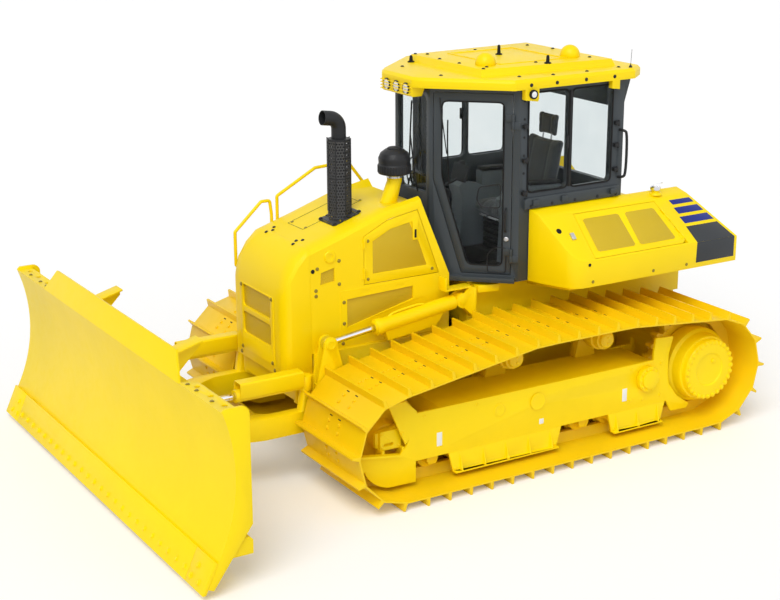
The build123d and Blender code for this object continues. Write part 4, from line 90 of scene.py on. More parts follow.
# ------------------------------------------------------------------ shader groups
class Graph:
    """A node tree with short calls to add nodes and links."""

    def __init__(self, tree: bpy.types.NodeTree) -> None:
        """Hold the tree that the nodes go into."""
        self.tree = tree

    def node(self, kind: str, **settings: object) -> bpy.types.Node:
        """Add a node.

        Args:
            kind: Blender's node type.
            **settings: Properties to set on the node.

        Returns:
            The new node.
        """
        made = self.tree.nodes.new(kind)
        for name, value in settings.items():
            setattr(made, name, value)
        return made

    def link(self, source: bpy.types.NodeSocket, target: bpy.types.NodeSocket) -> None:
        """Join an output to an input."""
        self.tree.links.new(source, target)

    def math(self, operation: str, a: object, b: object = 0.0, clamp: bool = False) -> bpy.types.NodeSocket:
        """Add a maths node.

        Args:
            operation: Blender's name of the operation.
            a: First value or socket.
            b: Second value or socket.
            clamp: Whether the result is kept from 0 to 1.

        Returns:
            The result's socket.
        """
        made = self.node("ShaderNodeMath", operation=operation, use_clamp=clamp)
        for index, value in enumerate((a, b)):
            if isinstance(value, bpy.types.NodeSocket):
                self.link(value, made.inputs[index])
            else:
                made.inputs[index].default_value = value
        return made.outputs[0]

    def mix(self, factor: object, a: object, b: object) -> bpy.types.NodeSocket:
        """Mix two colours.

        Args:
            factor: Share of b, a value or a socket.
            a: First colour or socket.
            b: Second colour or socket.

        Returns:
            The mixed colour's socket.
        """
        made = self.node("ShaderNodeMix", data_type="RGBA")
        for index, value in ((0, factor), (6, a), (7, b)):
            if isinstance(value, bpy.types.NodeSocket):
                self.link(value, made.inputs[index])
            else:
                made.inputs[index].default_value = value
        return made.outputs[2]

    def noise(self, vector: bpy.types.NodeSocket, scale: float, detail: float = 3.0) -> bpy.types.NodeSocket:
        """Add a noise texture and give its value."""
        made = self.node("ShaderNodeTexNoise")
        made.inputs["Scale"].default_value = scale
        made.inputs["Detail"].default_value = detail
        self.link(vector, made.inputs["Vector"])
        return made.outputs["Fac"]

    def ramp(self, value: bpy.types.NodeSocket, low: float, high: float) -> bpy.types.NodeSocket:
        """Stretch a value so that low becomes 0 and high becomes 1, kept inside them."""
        made = self.node("ShaderNodeMapRange", clamp=True)
        self.link(value, made.inputs["Value"])
        made.inputs["From Min"].default_value = low
        made.inputs["From Max"].default_value = high
        return made.outputs["Result"]

    def split(self, vector: bpy.types.NodeSocket) -> tuple[bpy.types.NodeSocket, ...]:
        """Give a vector's three values."""
        made = self.node("ShaderNodeSeparateXYZ")
        self.link(vector, made.inputs[0])
        return tuple(made.outputs)


def new_group(name: str, inputs: dict[str, tuple], outputs: dict[str, str]) -> tuple[bpy.types.NodeTree, Graph]:
    """Start a shader node group.

    Args:
        name: The group's name.
        inputs: Socket type and default value by name.
        outputs: Socket type by name.

    Returns:
        The group and a graph on it.
    """
    tree = bpy.data.node_groups.new(name, "ShaderNodeTree")
    for label, (kind, default) in inputs.items():
        socket = tree.interface.new_socket(label, in_out="INPUT", socket_type=kind)
        if default is not None:
            socket.default_value = default
    for label, kind in outputs.items():
        tree.interface.new_socket(label, in_out="OUTPUT", socket_type=kind)
    return tree, Graph(tree)


def skin_group() -> bpy.types.NodeTree:
    """Build the group for painted or cast surfaces: tone, soil film, gloss and orange peel.

    Returns:
        The node group.
    """
    tree, g = new_group(
        "Skin",
        {"Vector": ("NodeSocketVector", None), "Colour": ("NodeSocketColor", None),
         "Film": ("NodeSocketColor", None), "Film Share": ("NodeSocketFloat", 0.2),
         "Roughness": ("NodeSocketFloat", 0.4), "Grain": ("NodeSocketFloat", 90.0)},
        {"Colour": "NodeSocketColor", "Roughness": "NodeSocketFloat", "Height": "NodeSocketFloat"})
    source = g.node("NodeGroupInput")
    target = g.node("NodeGroupOutput")
    vector = source.outputs["Vector"]
    # broad, soft changes of tone and a finer film that gathers low down
    broad = g.ramp(g.noise(vector, 1.7, 2.0), 0.35, 0.7)
    fine = g.ramp(g.noise(vector, 14.0, 5.0), 0.42, 0.75)
    low = g.ramp(g.split(vector)[2], 1.5, 0.1)
    film = g.math("MULTIPLY", g.math("ADD", g.math("MULTIPLY", low, 0.7), g.math("MULTIPLY", broad, 0.3)),
                  g.math("ADD", g.math("MULTIPLY", fine, 0.7), 0.3))
    film = g.math("MULTIPLY", film, source.outputs["Film Share"], clamp=True)
    toned = g.node("ShaderNodeHueSaturation")
    g.link(source.outputs["Colour"], toned.inputs["Color"])
    g.link(g.math("ADD", g.math("MULTIPLY", broad, 0.05), 0.97), toned.inputs["Value"])
    g.link(g.mix(film, toned.outputs[0], source.outputs["Film"]), target.inputs["Colour"])
    rough = g.math("ADD", source.outputs["Roughness"], g.math("MULTIPLY", film, 0.5))
    rough = g.math("ADD", rough, g.math("MULTIPLY", g.math("SUBTRACT", fine, 0.5), 0.06), clamp=True)
    g.link(rough, target.inputs["Roughness"])
    peel = g.node("ShaderNodeTexNoise")
    g.link(vector, peel.inputs["Vector"])
    g.link(source.outputs["Grain"], peel.inputs["Scale"])
    peel.inputs["Detail"].default_value = 2.0
    g.link(peel.outputs["Fac"], target.inputs["Height"])
    return tree


def holes_group() -> bpy.types.NodeTree:
    """Build the group for punched sheet: a mask that is 1 inside staggered round holes.

    Returns:
        The node group.
    """
    tree, g = new_group(
        "Holes", {"Across": ("NodeSocketFloat", 0.0), "Up": ("NodeSocketFloat", 0.0),
                  "Pitch": ("NodeSocketFloat", 0.01), "Size": ("NodeSocketFloat", 0.32)},
        {"Mask": "NodeSocketFloat"})
    source = g.node("NodeGroupInput")
    target = g.node("NodeGroupOutput")
    across = g.math("DIVIDE", source.outputs["Across"], source.outputs["Pitch"])
    up = g.math("DIVIDE", source.outputs["Up"], source.outputs["Pitch"])
    row = g.math("FLOOR", up)
    stagger = g.math("MULTIPLY", g.math("MODULO", row, 2.0), 0.5)
    u = g.math("SUBTRACT", g.math("FRACT", g.math("ADD", across, stagger)), 0.5)
    v = g.math("SUBTRACT", g.math("FRACT", up), 0.5)
    away = g.math("SQRT", g.math("ADD", g.math("MULTIPLY", u, u), g.math("MULTIPLY", v, v)))
    edge = g.math("SUBTRACT", source.outputs["Size"], away)
    g.link(g.ramp(edge, -0.04, 0.04), target.inputs["Mask"])
    return tree


# ------------------------------------------------------------------ finishes
@dataclass(frozen=True)
class Metal:
    """A painted, cast, bare or moulded surface."""

    name: str
    colour: Colour
    roughness: float = 0.38
    film: Colour = srgb(206, 176, 60)
    film_share: float = 0.08
    grain: float = 120.0
    bump: float = 0.06
    metallic: float = 0.0
    coat: float = 0.04


@dataclass(frozen=True)
class Punched:
    """A sheet with small punched holes, across x and y together and up z; the holes' colour is painted shade of the
    openings.
    """

    name: str
    colour: Colour
    hole_shade: Colour
    pitch: float = 0.005
    size: float = 0.3
    open: bool = False
    centre: Point | None = None
    radius: float = 0.1


@dataclass(frozen=True)
class Woven:
    """Seat fabric: two crossing sets of threads."""

    name: str
    colour: Colour
    thread: Colour
    pitch: float = 0.004


class Paint(Enum):
    """The machine's finishes."""

    YELLOW = Metal("YellowEnamel", srgb(254, 222, 0), 0.42)
    # yellow paint of the undercarriage, made more orange than the enamel: painted shade and bounce light of the
    # shadowed tracks
    TRACK_YELLOW = Metal("TrackShadedYellow", srgb(246, 206, 6), 0.42, film_share=0.16, grain=60.0, bump=0.15, coat=0.1)
    CHARCOAL = Metal("CharcoalPaint", srgb(58, 64, 68), 0.42, film=srgb(90, 92, 92), coat=0.2)
    BLACK = Metal("BlackPaint", srgb(34, 35, 37), 0.5, film=srgb(80, 80, 78), coat=0.1)
    MOULDED = Metal("BlackMoulding", srgb(42, 43, 45), 0.62, film=srgb(70, 70, 70), grain=700.0, bump=0.35, coat=0.0)
    GREY_MOULD = Metal("GreyMoulding", srgb(104, 110, 114), 0.6, film=srgb(120, 122, 122), grain=600.0, bump=0.3,
                       coat=0.0)
    RUBBER = Metal("BlackRubber", srgb(24, 24, 25), 0.72, film=srgb(60, 60, 58), grain=300.0, bump=0.2, coat=0.0)
    CHROME = Metal("ChromeRod", srgb(232, 232, 236), 0.09, film=srgb(190, 190, 190), bump=0.0, metallic=1.0, coat=0.0)
    BOLT = Metal("DullBolt", srgb(150, 132, 44), 0.42, film=srgb(120, 100, 50), metallic=0.35, coat=0.0)
    ZINC = Metal("ZincPlate", srgb(196, 196, 198), 0.3, film=srgb(150, 148, 140), metallic=0.9, coat=0.0)
    BLUE = Metal("NavyStripe", srgb(20, 38, 128), 0.36, film=srgb(60, 70, 120), coat=0.3)
    PANEL = Metal("DarkPanel", srgb(54, 57, 60), 0.45, film=srgb(84, 86, 88), coat=0.15)
    LABEL = Metal("BlankLabel", srgb(236, 238, 238), 0.4, film=srgb(200, 200, 196), coat=0.2)
    LENS = Metal("LampLens", srgb(238, 240, 242), 0.08, film=srgb(220, 220, 220), bump=0.0, metallic=0.55, coat=0.8)
    RED = Metal("RedLens", srgb(176, 18, 16), 0.15, film=srgb(150, 40, 30), bump=0.0, coat=0.6)
    # yellow mesh darkened to ochre: painted shade of the recessed screens, with painted shade in the holes
    SCREEN = Punched("ShadedOchreScreen", srgb(222, 190, 14), srgb(168, 134, 8))
    STACK_SCREEN = Punched("StackScreen", srgb(44, 45, 47), srgb(12, 12, 12), 0.024, 0.3, True,
                           (0.160, -0.690, 0.0), 0.1)
    # near-black holes of the tail screen: painted shade behind them
    DARK_SCREEN = Punched("DarkScreen", srgb(60, 62, 64), srgb(14, 14, 15), 0.012, 0.33)
    CLOTH = Woven("PadCloth", srgb(58, 62, 66), srgb(84, 88, 92))


class Finishes:
    """Makes each finish once."""

    def __init__(self) -> None:
        """Build the shared groups."""
        self.skin = skin_group()
        self.holes = holes_group()
        self.made: dict[str, bpy.types.Material] = {}

    def start(self, name: str) -> tuple[bpy.types.Material, Graph, bpy.types.Node, bpy.types.NodeSocket]:
        """Start a material.

        Args:
            name: The material's name.

        Returns:
            The material, its graph, its shader and the object coordinates.
        """
        material = bpy.data.materials.new(name)
        material.use_nodes = True
        material.node_tree.nodes.clear()
        g = Graph(material.node_tree)
        shader = g.node("ShaderNodeBsdfPrincipled")
        output = g.node("ShaderNodeOutputMaterial")
        g.link(shader.outputs[0], output.inputs["Surface"])
        place = g.node("ShaderNodeTexCoord")
        self.made[name] = material
        return material, g, shader, place.outputs["Object"]

    def get(self, paint: Paint) -> bpy.types.Material:
        """Give a finish's material, made at the first call.

        Args:
            paint: The finish.

        Returns:
            Its material.
        """
        finish = paint.value
        if finish.name not in self.made:
            if isinstance(finish, Metal):
                self.metal(finish)
            elif isinstance(finish, Punched):
                self.punched(finish)
            else:
                self.woven(finish)
        return self.made[finish.name]

    def coat(self, g: Graph, place: bpy.types.NodeSocket, finish: Metal) -> bpy.types.Node:
        """Place the skin group with a finish's values."""
        skin = g.node("ShaderNodeGroup", node_tree=self.skin)
        g.link(place, skin.inputs["Vector"])
        skin.inputs["Colour"].default_value = finish.colour
        skin.inputs["Film"].default_value = finish.film
        skin.inputs["Film Share"].default_value = finish.film_share
        skin.inputs["Roughness"].default_value = finish.roughness
        skin.inputs["Grain"].default_value = finish.grain
        return skin

    def bump(self, g: Graph, shader: bpy.types.Node, height: bpy.types.NodeSocket, strength: float,
             distance: float = 0.001) -> None:
        """Feed a height to the shader's normal."""
        bump = g.node("ShaderNodeBump")
        bump.inputs["Strength"].default_value = strength
        bump.inputs["Distance"].default_value = distance
        g.link(height, bump.inputs["Height"])
        g.link(bump.outputs[0], shader.inputs["Normal"])

    def metal(self, finish: Metal) -> None:
        """Make a painted, cast or moulded finish."""
        _, g, shader, place = self.start(finish.name)
        skin = self.coat(g, place, finish)
        g.link(skin.outputs["Colour"], shader.inputs["Base Color"])
        g.link(skin.outputs["Roughness"], shader.inputs["Roughness"])
        self.bump(g, shader, skin.outputs["Height"], finish.bump)
        shader.inputs["Metallic"].default_value = finish.metallic
        shader.inputs["Specular IOR Level"].default_value = 0.5 if finish.metallic else 0.22
        shader.inputs["Coat Weight"].default_value = finish.coat
        shader.inputs["Coat Roughness"].default_value = 0.12

    def punched(self, finish: Punched) -> None:
        """Make a punched sheet, with real openings where the finish is open."""
        _, g, shader, place = self.start(finish.name)
        x, y, z = g.split(place)
        if finish.centre:
            dx = g.math("SUBTRACT", x, finish.centre[0])
            dy = g.math("SUBTRACT", y, finish.centre[1])
            across = g.math("MULTIPLY", g.math("ARCTAN2", dx, dy), finish.radius)
        else:
            across = g.math("ADD", x, y)
        holes = g.node("ShaderNodeGroup", node_tree=self.holes)
        g.link(across, holes.inputs["Across"])
        g.link(z, holes.inputs["Up"])
        holes.inputs["Pitch"].default_value = finish.pitch
        holes.inputs["Size"].default_value = finish.size
        skin = self.coat(g, place, Metal(finish.name, finish.colour, 0.5))
        mask = holes.outputs["Mask"]
        # holes get the hole colour: painted shade seen in the openings; only an open sheet is also cut through there
        g.link(g.mix(mask, skin.outputs["Colour"], finish.hole_shade), shader.inputs["Base Color"])
        g.link(skin.outputs["Roughness"], shader.inputs["Roughness"])
        if finish.open:
            g.link(g.math("SUBTRACT", 1.0, mask), shader.inputs["Alpha"])
        self.bump(g, shader, g.math("SUBTRACT", 1.0, mask), 0.5, 0.002)

    def woven(self, finish: Woven) -> None:
        """Make a woven seat fabric."""
        _, g, shader, place = self.start(finish.name)
        x, y, z = g.split(place)
        turn = 2 * math.pi / finish.pitch
        warp = g.math("SINE", g.math("MULTIPLY", g.math("ADD", x, g.math("MULTIPLY", z, 0.35)), turn))
        weft = g.math("SINE", g.math("MULTIPLY", g.math("ADD", y, z), turn))
        cross = g.math("MULTIPLY", warp, weft)
        fuzz = g.noise(place, 420.0, 4.0)
        height = g.math("ADD", g.math("MULTIPLY", cross, 0.5), fuzz)
        tone = g.ramp(height, -0.1, 1.1)
        worn = g.ramp(g.noise(place, 9.0, 3.0), 0.4, 0.7)
        share = g.math("ADD", g.math("MULTIPLY", tone, 0.7), g.math("MULTIPLY", worn, 0.2), clamp=True)
        g.link(g.mix(share, finish.colour, finish.thread), shader.inputs["Base Color"])
        g.link(g.math("ADD", g.math("MULTIPLY", worn, -0.1), 0.92), shader.inputs["Roughness"])
        self.bump(g, shader, height, 0.6)
        shader.inputs["Sheen Weight"].default_value = 0.3

    def glass(self) -> bpy.types.Material:
        """Make the lightly tinted safety glass of the cab."""
        if "CabGlass" not in self.made:
            _, g, shader, place = self.start("CabGlass")
            haze = g.ramp(g.noise(place, 3.0, 3.0), 0.4, 0.8)
            g.link(g.mix(haze, srgb(246, 250, 250), srgb(238, 244, 245)), shader.inputs["Base Color"])
            g.link(g.math("ADD", g.math("MULTIPLY", haze, 0.02), 0.01), shader.inputs["Roughness"])
            shader.inputs["Transmission Weight"].default_value = 1.0
            shader.inputs["IOR"].default_value = 1.12
        return self.made["CabGlass"]


# ------------------------------------------------------------------ the modelling bench
class Bench:
    """Modelling operators; every piece ends at the origin, unturned and unscaled."""

    def __init__(self) -> None:
        """Start with no surface trees."""
        self.trees: dict[str, BVHTree] = {}

    def clear(self) -> None:
        """Deselect everything."""
        bpy.ops.object.select_all(action="DESELECT")

    def only(self, piece: bpy.types.Object) -> None:
        """Select one piece and make it active."""
        self.clear()
        piece.select_set(True)
        bpy.context.view_layer.objects.active = piece

    def done(self, piece: bpy.types.Object, name: str, smooth: float = 32.0) -> bpy.types.Object:
        """Leave edit mode, apply the place and name a finished piece.

        Args:
            piece: The piece.
            name: Its final name.
            smooth: Angle in degrees up to which edges are shaded smooth.

        Returns:
            The piece.
        """
        if piece.mode == "EDIT":
            bpy.ops.object.mode_set(mode="OBJECT")
        self.only(piece)
        bpy.ops.object.transform_apply(location=True, rotation=True, scale=True)
        piece.name = name
        piece.data.name = name
        bpy.ops.object.shade_smooth_by_angle(angle=math.radians(smooth))
        return piece

    def block(self, name: str, low: Triple, high: Triple, bevel: float = 0.004,
              segments: int = 2) -> bpy.types.Object:
        """Model a block with rounded edges between two corners.

        Args:
            name: The piece's name.
            low: One corner.
            high: The corner across from it.
            bevel: Size of the rounding.
            segments: Faces across the rounding.

        Returns:
            The piece.
        """
        low, high = Vector(map(min, low, high)), Vector(map(max, low, high))
        self.clear()
        bpy.ops.mesh.primitive_cube_add(size=1, location=(low + high) / 2, scale=high - low)
        piece = bpy.context.active_object
        bpy.ops.object.transform_apply(location=True, rotation=True, scale=True)
        bpy.ops.object.mode_set(mode="EDIT")
        bpy.ops.mesh.select_all(action="SELECT")
        bpy.ops.mesh.bevel(offset=bevel, segments=segments, affect="EDGES")
        return self.done(piece, name)

    def turned(self, name: str, at: Triple, axis: Triple, profile: Profile,
               sides: int = 32) -> bpy.types.Object:
        """Model a turned piece by extruding and resizing a disc along an axis.

        Args:
            name: The piece's name.
            at: Where the axis starts.
            axis: Direction of the axis.
            profile: Radius and height of each ring, from the first face to the last.
            sides: Corners round the axis.

        Returns:
            The piece.
        """
        radius, height = profile[0]
        self.clear()
        bpy.ops.mesh.primitive_circle_add(vertices=sides, radius=radius, fill_type="NGON", location=(0, 0, height))
        piece = bpy.context.active_object
        bpy.ops.object.transform_apply(location=True, rotation=True, scale=True)
        bpy.ops.object.mode_set(mode="EDIT")
        bpy.ops.mesh.select_mode(type="FACE")
        bpy.ops.mesh.select_all(action="SELECT")
        for (r0, h0), (r1, h1) in zip(profile, profile[1:]):
            bpy.ops.mesh.extrude_region_move(TRANSFORM_OT_translate={"value": (0, 0, h1 - h0)})
            bpy.ops.transform.resize(value=(r1 / r0, r1 / r0, 1), center_override=(0, 0, h1))
        bpy.ops.mesh.select_all(action="SELECT")
        bpy.ops.mesh.normals_make_consistent(inside=False)
        bpy.ops.object.mode_set(mode="OBJECT")
        piece.data.transform(self.place(at, axis))
        return self.done(piece, name)

    def plate(self, name: str, outline: Sequence[Triple], out: Triple,
              bevel: float = 0.0) -> bpy.types.Object:
        """Model a flat plate from the corners of one face.

        Args:
            name: The piece's name.
            outline: The corners in order.
            out: Vector of its thickness.
            bevel: Size of the rounding of all its edges.

        Returns:
            The piece.
        """
        self.clear()
        bpy.ops.mesh.primitive_circle_add(vertices=len(outline), radius=0.1, fill_type="NGON")
        piece = bpy.context.active_object
        for vertex, corner in zip(piece.data.vertices, outline):
            vertex.co = corner
        bpy.ops.object.mode_set(mode="EDIT")
        bpy.ops.mesh.select_mode(type="FACE")
        bpy.ops.mesh.select_all(action="SELECT")
        bpy.ops.mesh.extrude_region_move(TRANSFORM_OT_translate={"value": tuple(out)})
        bpy.ops.mesh.select_all(action="SELECT")
        bpy.ops.mesh.normals_make_consistent(inside=False)
        if bevel:
            bpy.ops.mesh.bevel(offset=bevel, segments=2, affect="EDGES")
        return self.done(piece, name)

    def tube(self, name: str, points: Sequence[Triple], radius: float, order: int = 3) -> bpy.types.Object:
        """Model a bent tube along a smooth path.

        Args:
            name: The piece's name.
            points: Control points of the path.
            radius: Radius of the tube.
            order: Order of the path; 2 gives straight runs.

        Returns:
            The piece, as a mesh.
        """
        self.clear()
        bpy.ops.curve.primitive_nurbs_path_add()
        piece = bpy.context.active_object
        path = piece.data
        path.splines.clear()
        run = path.splines.new("NURBS")
        run.points.add(len(points) - 1)
        for spot, point in zip(run.points, points):
            spot.co = (*point, 1.0)
        run.order_u = min(order, len(points))
        run.use_endpoint_u = True
        run.resolution_u = 8
        path.bevel_depth = radius
        path.bevel_resolution = 2
        path.use_fill_caps = True
        bpy.ops.object.convert(target="MESH")
        piece = bpy.context.active_object
        bpy.ops.object.mode_set(mode="EDIT")
        bpy.ops.mesh.select_all(action="SELECT")
        bpy.ops.mesh.remove_doubles(threshold=0.0001)
        bpy.ops.mesh.normals_make_consistent(inside=False)
        return self.done(piece, name, 50.0)

    def place(self, at: Triple, axis: Triple, spin: float = 0.0) -> Matrix:
        """Give the matrix that puts a template's +Z along an axis at a point."""
        turn = Vector(axis).normalized().to_track_quat("Z", "Y").to_matrix().to_4x4()
        return Matrix.Translation(Vector(at)) @ turn @ Matrix.Rotation(spin, 4, "Z")

    def join(self, name: str, pieces: Sequence[bpy.types.Object]) -> bpy.types.Object:
        """Join finished pieces into one."""
        self.clear()
        for piece in pieces:
            piece.select_set(True)
        bpy.context.view_layer.objects.active = pieces[0]
        if len(pieces) > 1:
            bpy.ops.object.join()
        piece = bpy.context.active_object
        piece.name = name
        piece.data.name = name
        return piece

    def copies(self, name: str, template: bpy.types.Object, places: Sequence[Matrix]) -> bpy.types.Object:
        """Copy a template to each place, each copy with its own mesh, and join the copies.

        Args:
            name: Name of the joined piece.
            template: A finished piece; it is used up.
            places: Matrix of each copy.

        Returns:
            The joined piece.
        """
        made = []
        for place in places:
            twin = template.copy()
            twin.data = template.data.copy()
            twin.data.transform(place)
            bpy.context.scene.collection.objects.link(twin)
            made.append(twin)
        bpy.data.objects.remove(template)
        return self.join(name, made)

    def hit(self, node: str, start: Triple, toward: Triple) -> tuple[Vector, Vector] | None:
        """Find where a ray meets a CAD node.

        Args:
            node: The node's name.
            start: Where the ray starts.
            toward: Its direction.

        Returns:
            The point and the outward normal there, or None where it meets nothing.
        """
        if node not in self.trees:
            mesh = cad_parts[node].data
            self.trees[node] = BVHTree.FromPolygons(
                [v.co.copy() for v in mesh.vertices], [tuple(p.vertices) for p in mesh.polygons])
        way = Vector(toward).normalized()
        point, normal, _, _ = self.trees[node].ray_cast(Vector(start), way)
        if point is None:
            LOG.warning("nothing of %s at %s", node, tuple(round(v, 3) for v in start))
            return None
        return point, (-normal if normal.dot(way) > 0 else normal)

    def bolt(self, size: float, washer: bool = True) -> bpy.types.Object:
        """Model a hexagon bolt head of a given width, with a washer under it."""
        head = self.turned("bolt", (0, 0, 0), (0, 0, 1), (
            (size * 0.58, -0.001), (size * 0.58, size * 0.32), (size * 0.46, size * 0.42),
            (size * 0.2, size * 0.42)), 6)
        if not washer:
            return head
        ring = self.turned("washer", (0, 0, 0), (0, 0, 1), (
            (size * 0.8, -0.001), (size * 0.8, size * 0.08), (size * 0.7, size * 0.12)), 12)
        return self.join("bolt", [head, ring])


@dataclass
class Group:
    """A sub-assembly: it builds pieces, dresses them and sets the body they ride on."""

    bench: Bench
    finishes: Finishes

    def keep(self, piece: bpy.types.Object, paint: Paint, body: str = "chassis") -> bpy.types.Object:
        """Dress a piece and set its body.

        Args:
            piece: The piece.
            paint: Its finish.
            body: The body that it rides on.

        Returns:
            The piece.
        """
        piece.data.materials.clear()
        piece.data.materials.append(self.finishes.get(paint))
        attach(piece, body)
        LOG.info("%s: %s on %s, %d faces", piece.name, paint.value.name, body, len(piece.data.polygons))
        return piece

    def block(self, name: str, low: Triple, high: Triple, bevel: float, paint: Paint, body: str = "chassis") -> None:
        """Make and keep a block between two corners."""
        self.keep(self.bench.block(name, low, high, bevel), paint, body)

    def turned(self, name: str, at: Triple, axis: Triple, profile: Profile, paint: Paint, body: str = "chassis",
               sides: int = 32) -> None:
        """Make and keep a turned piece."""
        self.keep(self.bench.turned(name, at, axis, profile, sides), paint, body)

    def plate(self, name: str, outline: Sequence[Triple], out: Triple, bevel: float, paint: Paint,
              body: str = "chassis") -> None:
        """Make and keep a flat plate."""
        self.keep(self.bench.plate(name, outline, out, bevel), paint, body)

    def tube(self, name: str, points: Sequence[Triple], radius: float, paint: Paint, body: str = "chassis",
             order: int = 3) -> None:
        """Make and keep a bent tube."""
        self.keep(self.bench.tube(name, points, radius, order), paint, body)

    def join(self, name: str, pieces: Sequence[bpy.types.Object], paint: Paint) -> None:
        """Join and keep pieces, where there are any."""
        if pieces:
            self.keep(self.bench.join(name, pieces), paint)

    def copies(self, name: str, template: bpy.types.Object, places: Sequence[Matrix], paint: Paint,
               body: str = "chassis") -> None:
        """Copy a template to some places and keep the copies as one piece."""
        self.keep(self.bench.copies(name, template, places), paint, body)

    def stud(self, name: str, node: str, start: Triple, toward: Triple, profile: Profile, paint: Paint,
             body: str = "chassis", sides: int = 32, axis: Triple | None = None) -> Vector | None:
        """Set a turned piece where a ray meets a CAD node.

        Args:
            name: The piece's name.
            node: The CAD node.
            start: Where the ray starts.
            toward: Direction of the ray.
            profile: Radius and height of each ring of the piece.
            paint: Its finish.
            body: The body that it rides on.
            sides: Corners round its axis.
            axis: Its axis; without one it stands on the surface's normal.

        Returns:
            The point that the ray meets, or None.
        """
        found = self.bench.hit(node, start, toward)
        if not found:
            return None
        self.turned(name, found[0], axis or found[1], profile, paint, body, sides)
        return found[0]

    def bolts(self, name: str, node: str, starts: Sequence[Triple], toward: Triple, size: float, paint: Paint,
              body: str = "chassis", washer: bool = True) -> None:
        """Set bolts on a CAD node where rays from some points meet it.

        Args:
            name: Name of the joined piece.
            node: The CAD node.
            starts: Where each ray starts.
            toward: Direction of the rays.
            size: Width of the heads.
            paint: Their finish.
            body: The body that they ride on.
            washer: Whether each has a washer.
        """
        places = []
        for index, start in enumerate(starts):
            found = self.bench.hit(node, start, toward)
            if found:
                places.append(self.bench.place(found[0], found[1], index * 0.7))
        if places:
            self.copies(name, self.bench.bolt(size, washer), places, paint, body)

    def both(self, points: Sequence[Triple]) -> list[Point]:
        """Give the points and their mirror images across the machine."""
        return [(s * p[0], p[1], p[2]) for _, s in SIDES for p in points]


# ------------------------------------------------------------------ the CAD nodes
NODE_PAINT: dict[Paint, tuple[str, ...]] = {
    Paint.YELLOW: (
        "main_frame", "front_mask", "hood", "side_boxes", "rear_tank", "c_frame", "angle_barrels",
        "blade_trunnion", "blade", "blade_frame", "track_frames", "roller_guards", "final_drives", "rear_hitch",
        "lift_barrel_left", "lift_barrel_right", "tilt_barrel", "engine_door_left", "engine_door_right",
        "service_door_left", "service_door_right", "pivot_shaft", "cab_roof", "roof_domes", "intake_pipe",
        "handrails", "cutting_edge", "roof_lamps"),
    Paint.TRACK_YELLOW: ("track_left", "track_right", "idlers", "sprockets", "track_rollers", "carrier_rollers"),
    Paint.SCREEN: ("grille_panels",),
    Paint.CHARCOAL: ("cab_shell", "cab_door_left", "cab_door_right", "rear_box"),
    Paint.BLACK: ("exhaust_stack", "precleaner", "engine_block"),
    Paint.MOULDED: ("cab_floor",),
    Paint.GREY_MOULD: ("seat_consoles",),
    Paint.STACK_SCREEN: ("exhaust_guard",),
    Paint.CHROME: ("lift_rod_left", "lift_rod_right", "angle_rod_left", "angle_rod_right", "tilt_rod"),
}
GLASS_NODES: tuple[str, ...] = ("cab_windows", "door_glass_left", "door_glass_right")
EDGE: dict[str, float] = {  # rounding of edges that differs from the usual
    "track_left": 0.002, "track_right": 0.002, "grille_panels": 0.0, "cab_windows": 0.0, "door_glass_left": 0.0,
    "door_glass_right": 0.0, "exhaust_guard": 0.001, "handrails": 0.0, "exhaust_stack": 0.001, "engine_block": 0.004,
    "hood": 0.0, "front_mask": 0.003}


@dataclass
class Castings(Group):
    """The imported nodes: rounded edges, smooth curves and their finishes."""

    width: float = 0.0035
    corner: float = 28.0

    def smoother(self) -> bpy.types.NodeTree:
        """Build the modifier tree that shades smooth between faces less than an angle apart."""
        tree = bpy.data.node_groups.new("SmoothByAngle", "GeometryNodeTree")
        tree.interface.new_socket("Geometry", in_out="INPUT", socket_type="NodeSocketGeometry")
        tree.interface.new_socket("Geometry", in_out="OUTPUT", socket_type="NodeSocketGeometry")
        g = Graph(tree)
        source, target = g.node("NodeGroupInput"), g.node("NodeGroupOutput")
        faces = g.node("GeometryNodeSetShadeSmooth", domain="FACE")
        edges = g.node("GeometryNodeSetShadeSmooth", domain="EDGE")
        edges.inputs["Shade Smooth"].default_value = False
        angle = g.node("GeometryNodeInputMeshEdgeAngle")
        sharp = g.node("FunctionNodeCompare", data_type="FLOAT", operation="GREATER_THAN")
        sharp.inputs[1].default_value = math.radians(self.corner + 4)
        g.link(source.outputs[0], faces.inputs["Geometry"])
        g.link(faces.outputs[0], edges.inputs["Geometry"])
        g.link(angle.outputs["Unsigned Angle"], sharp.inputs[0])
        g.link(sharp.outputs[0], edges.inputs["Selection"])
        g.link(edges.outputs[0], target.inputs[0])
        return tree

    def soften(self, node: str, tree: bpy.types.NodeTree) -> None:
        """Add the modifiers that merge, round and smooth a CAD node."""
        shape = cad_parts[node]
        weld = shape.modifiers.new("merge", "WELD")
        weld.merge_threshold = 0.00002
        width = EDGE.get(node, self.width)
        if width:
            flat = shape.modifiers.new("flats", "DECIMATE")
            flat.decimate_type = "DISSOLVE"
            flat.angle_limit = math.radians(0.4)
            bevel = shape.modifiers.new("edges", "BEVEL")
            bevel.width = width
            bevel.segments = 2
            bevel.limit_method = "ANGLE"
            bevel.angle_limit = math.radians(self.corner)
            bevel.use_clamp_overlap = True
        smooth = shape.modifiers.new("smooth", "NODES")
        smooth.node_group = tree

    def dress(self, node: str, material: bpy.types.Material) -> None:
        """Give every slot of a CAD node one material."""
        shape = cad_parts[node]
        if not shape.material_slots:
            shape.data.materials.append(material)
        for place in shape.material_slots:
            place.material = material

    def build(self) -> None:
        """Dress and soften all the nodes."""
        tree = self.smoother()
        for paint, nodes in NODE_PAINT.items():
            for node in nodes:
                self.dress(node, self.finishes.get(paint))
                self.soften(node, tree)
                LOG.info("%s: %s", node, paint.value.name)
        for node in GLASS_NODES:
            self.dress(node, self.finishes.glass())
            self.soften(node, tree)


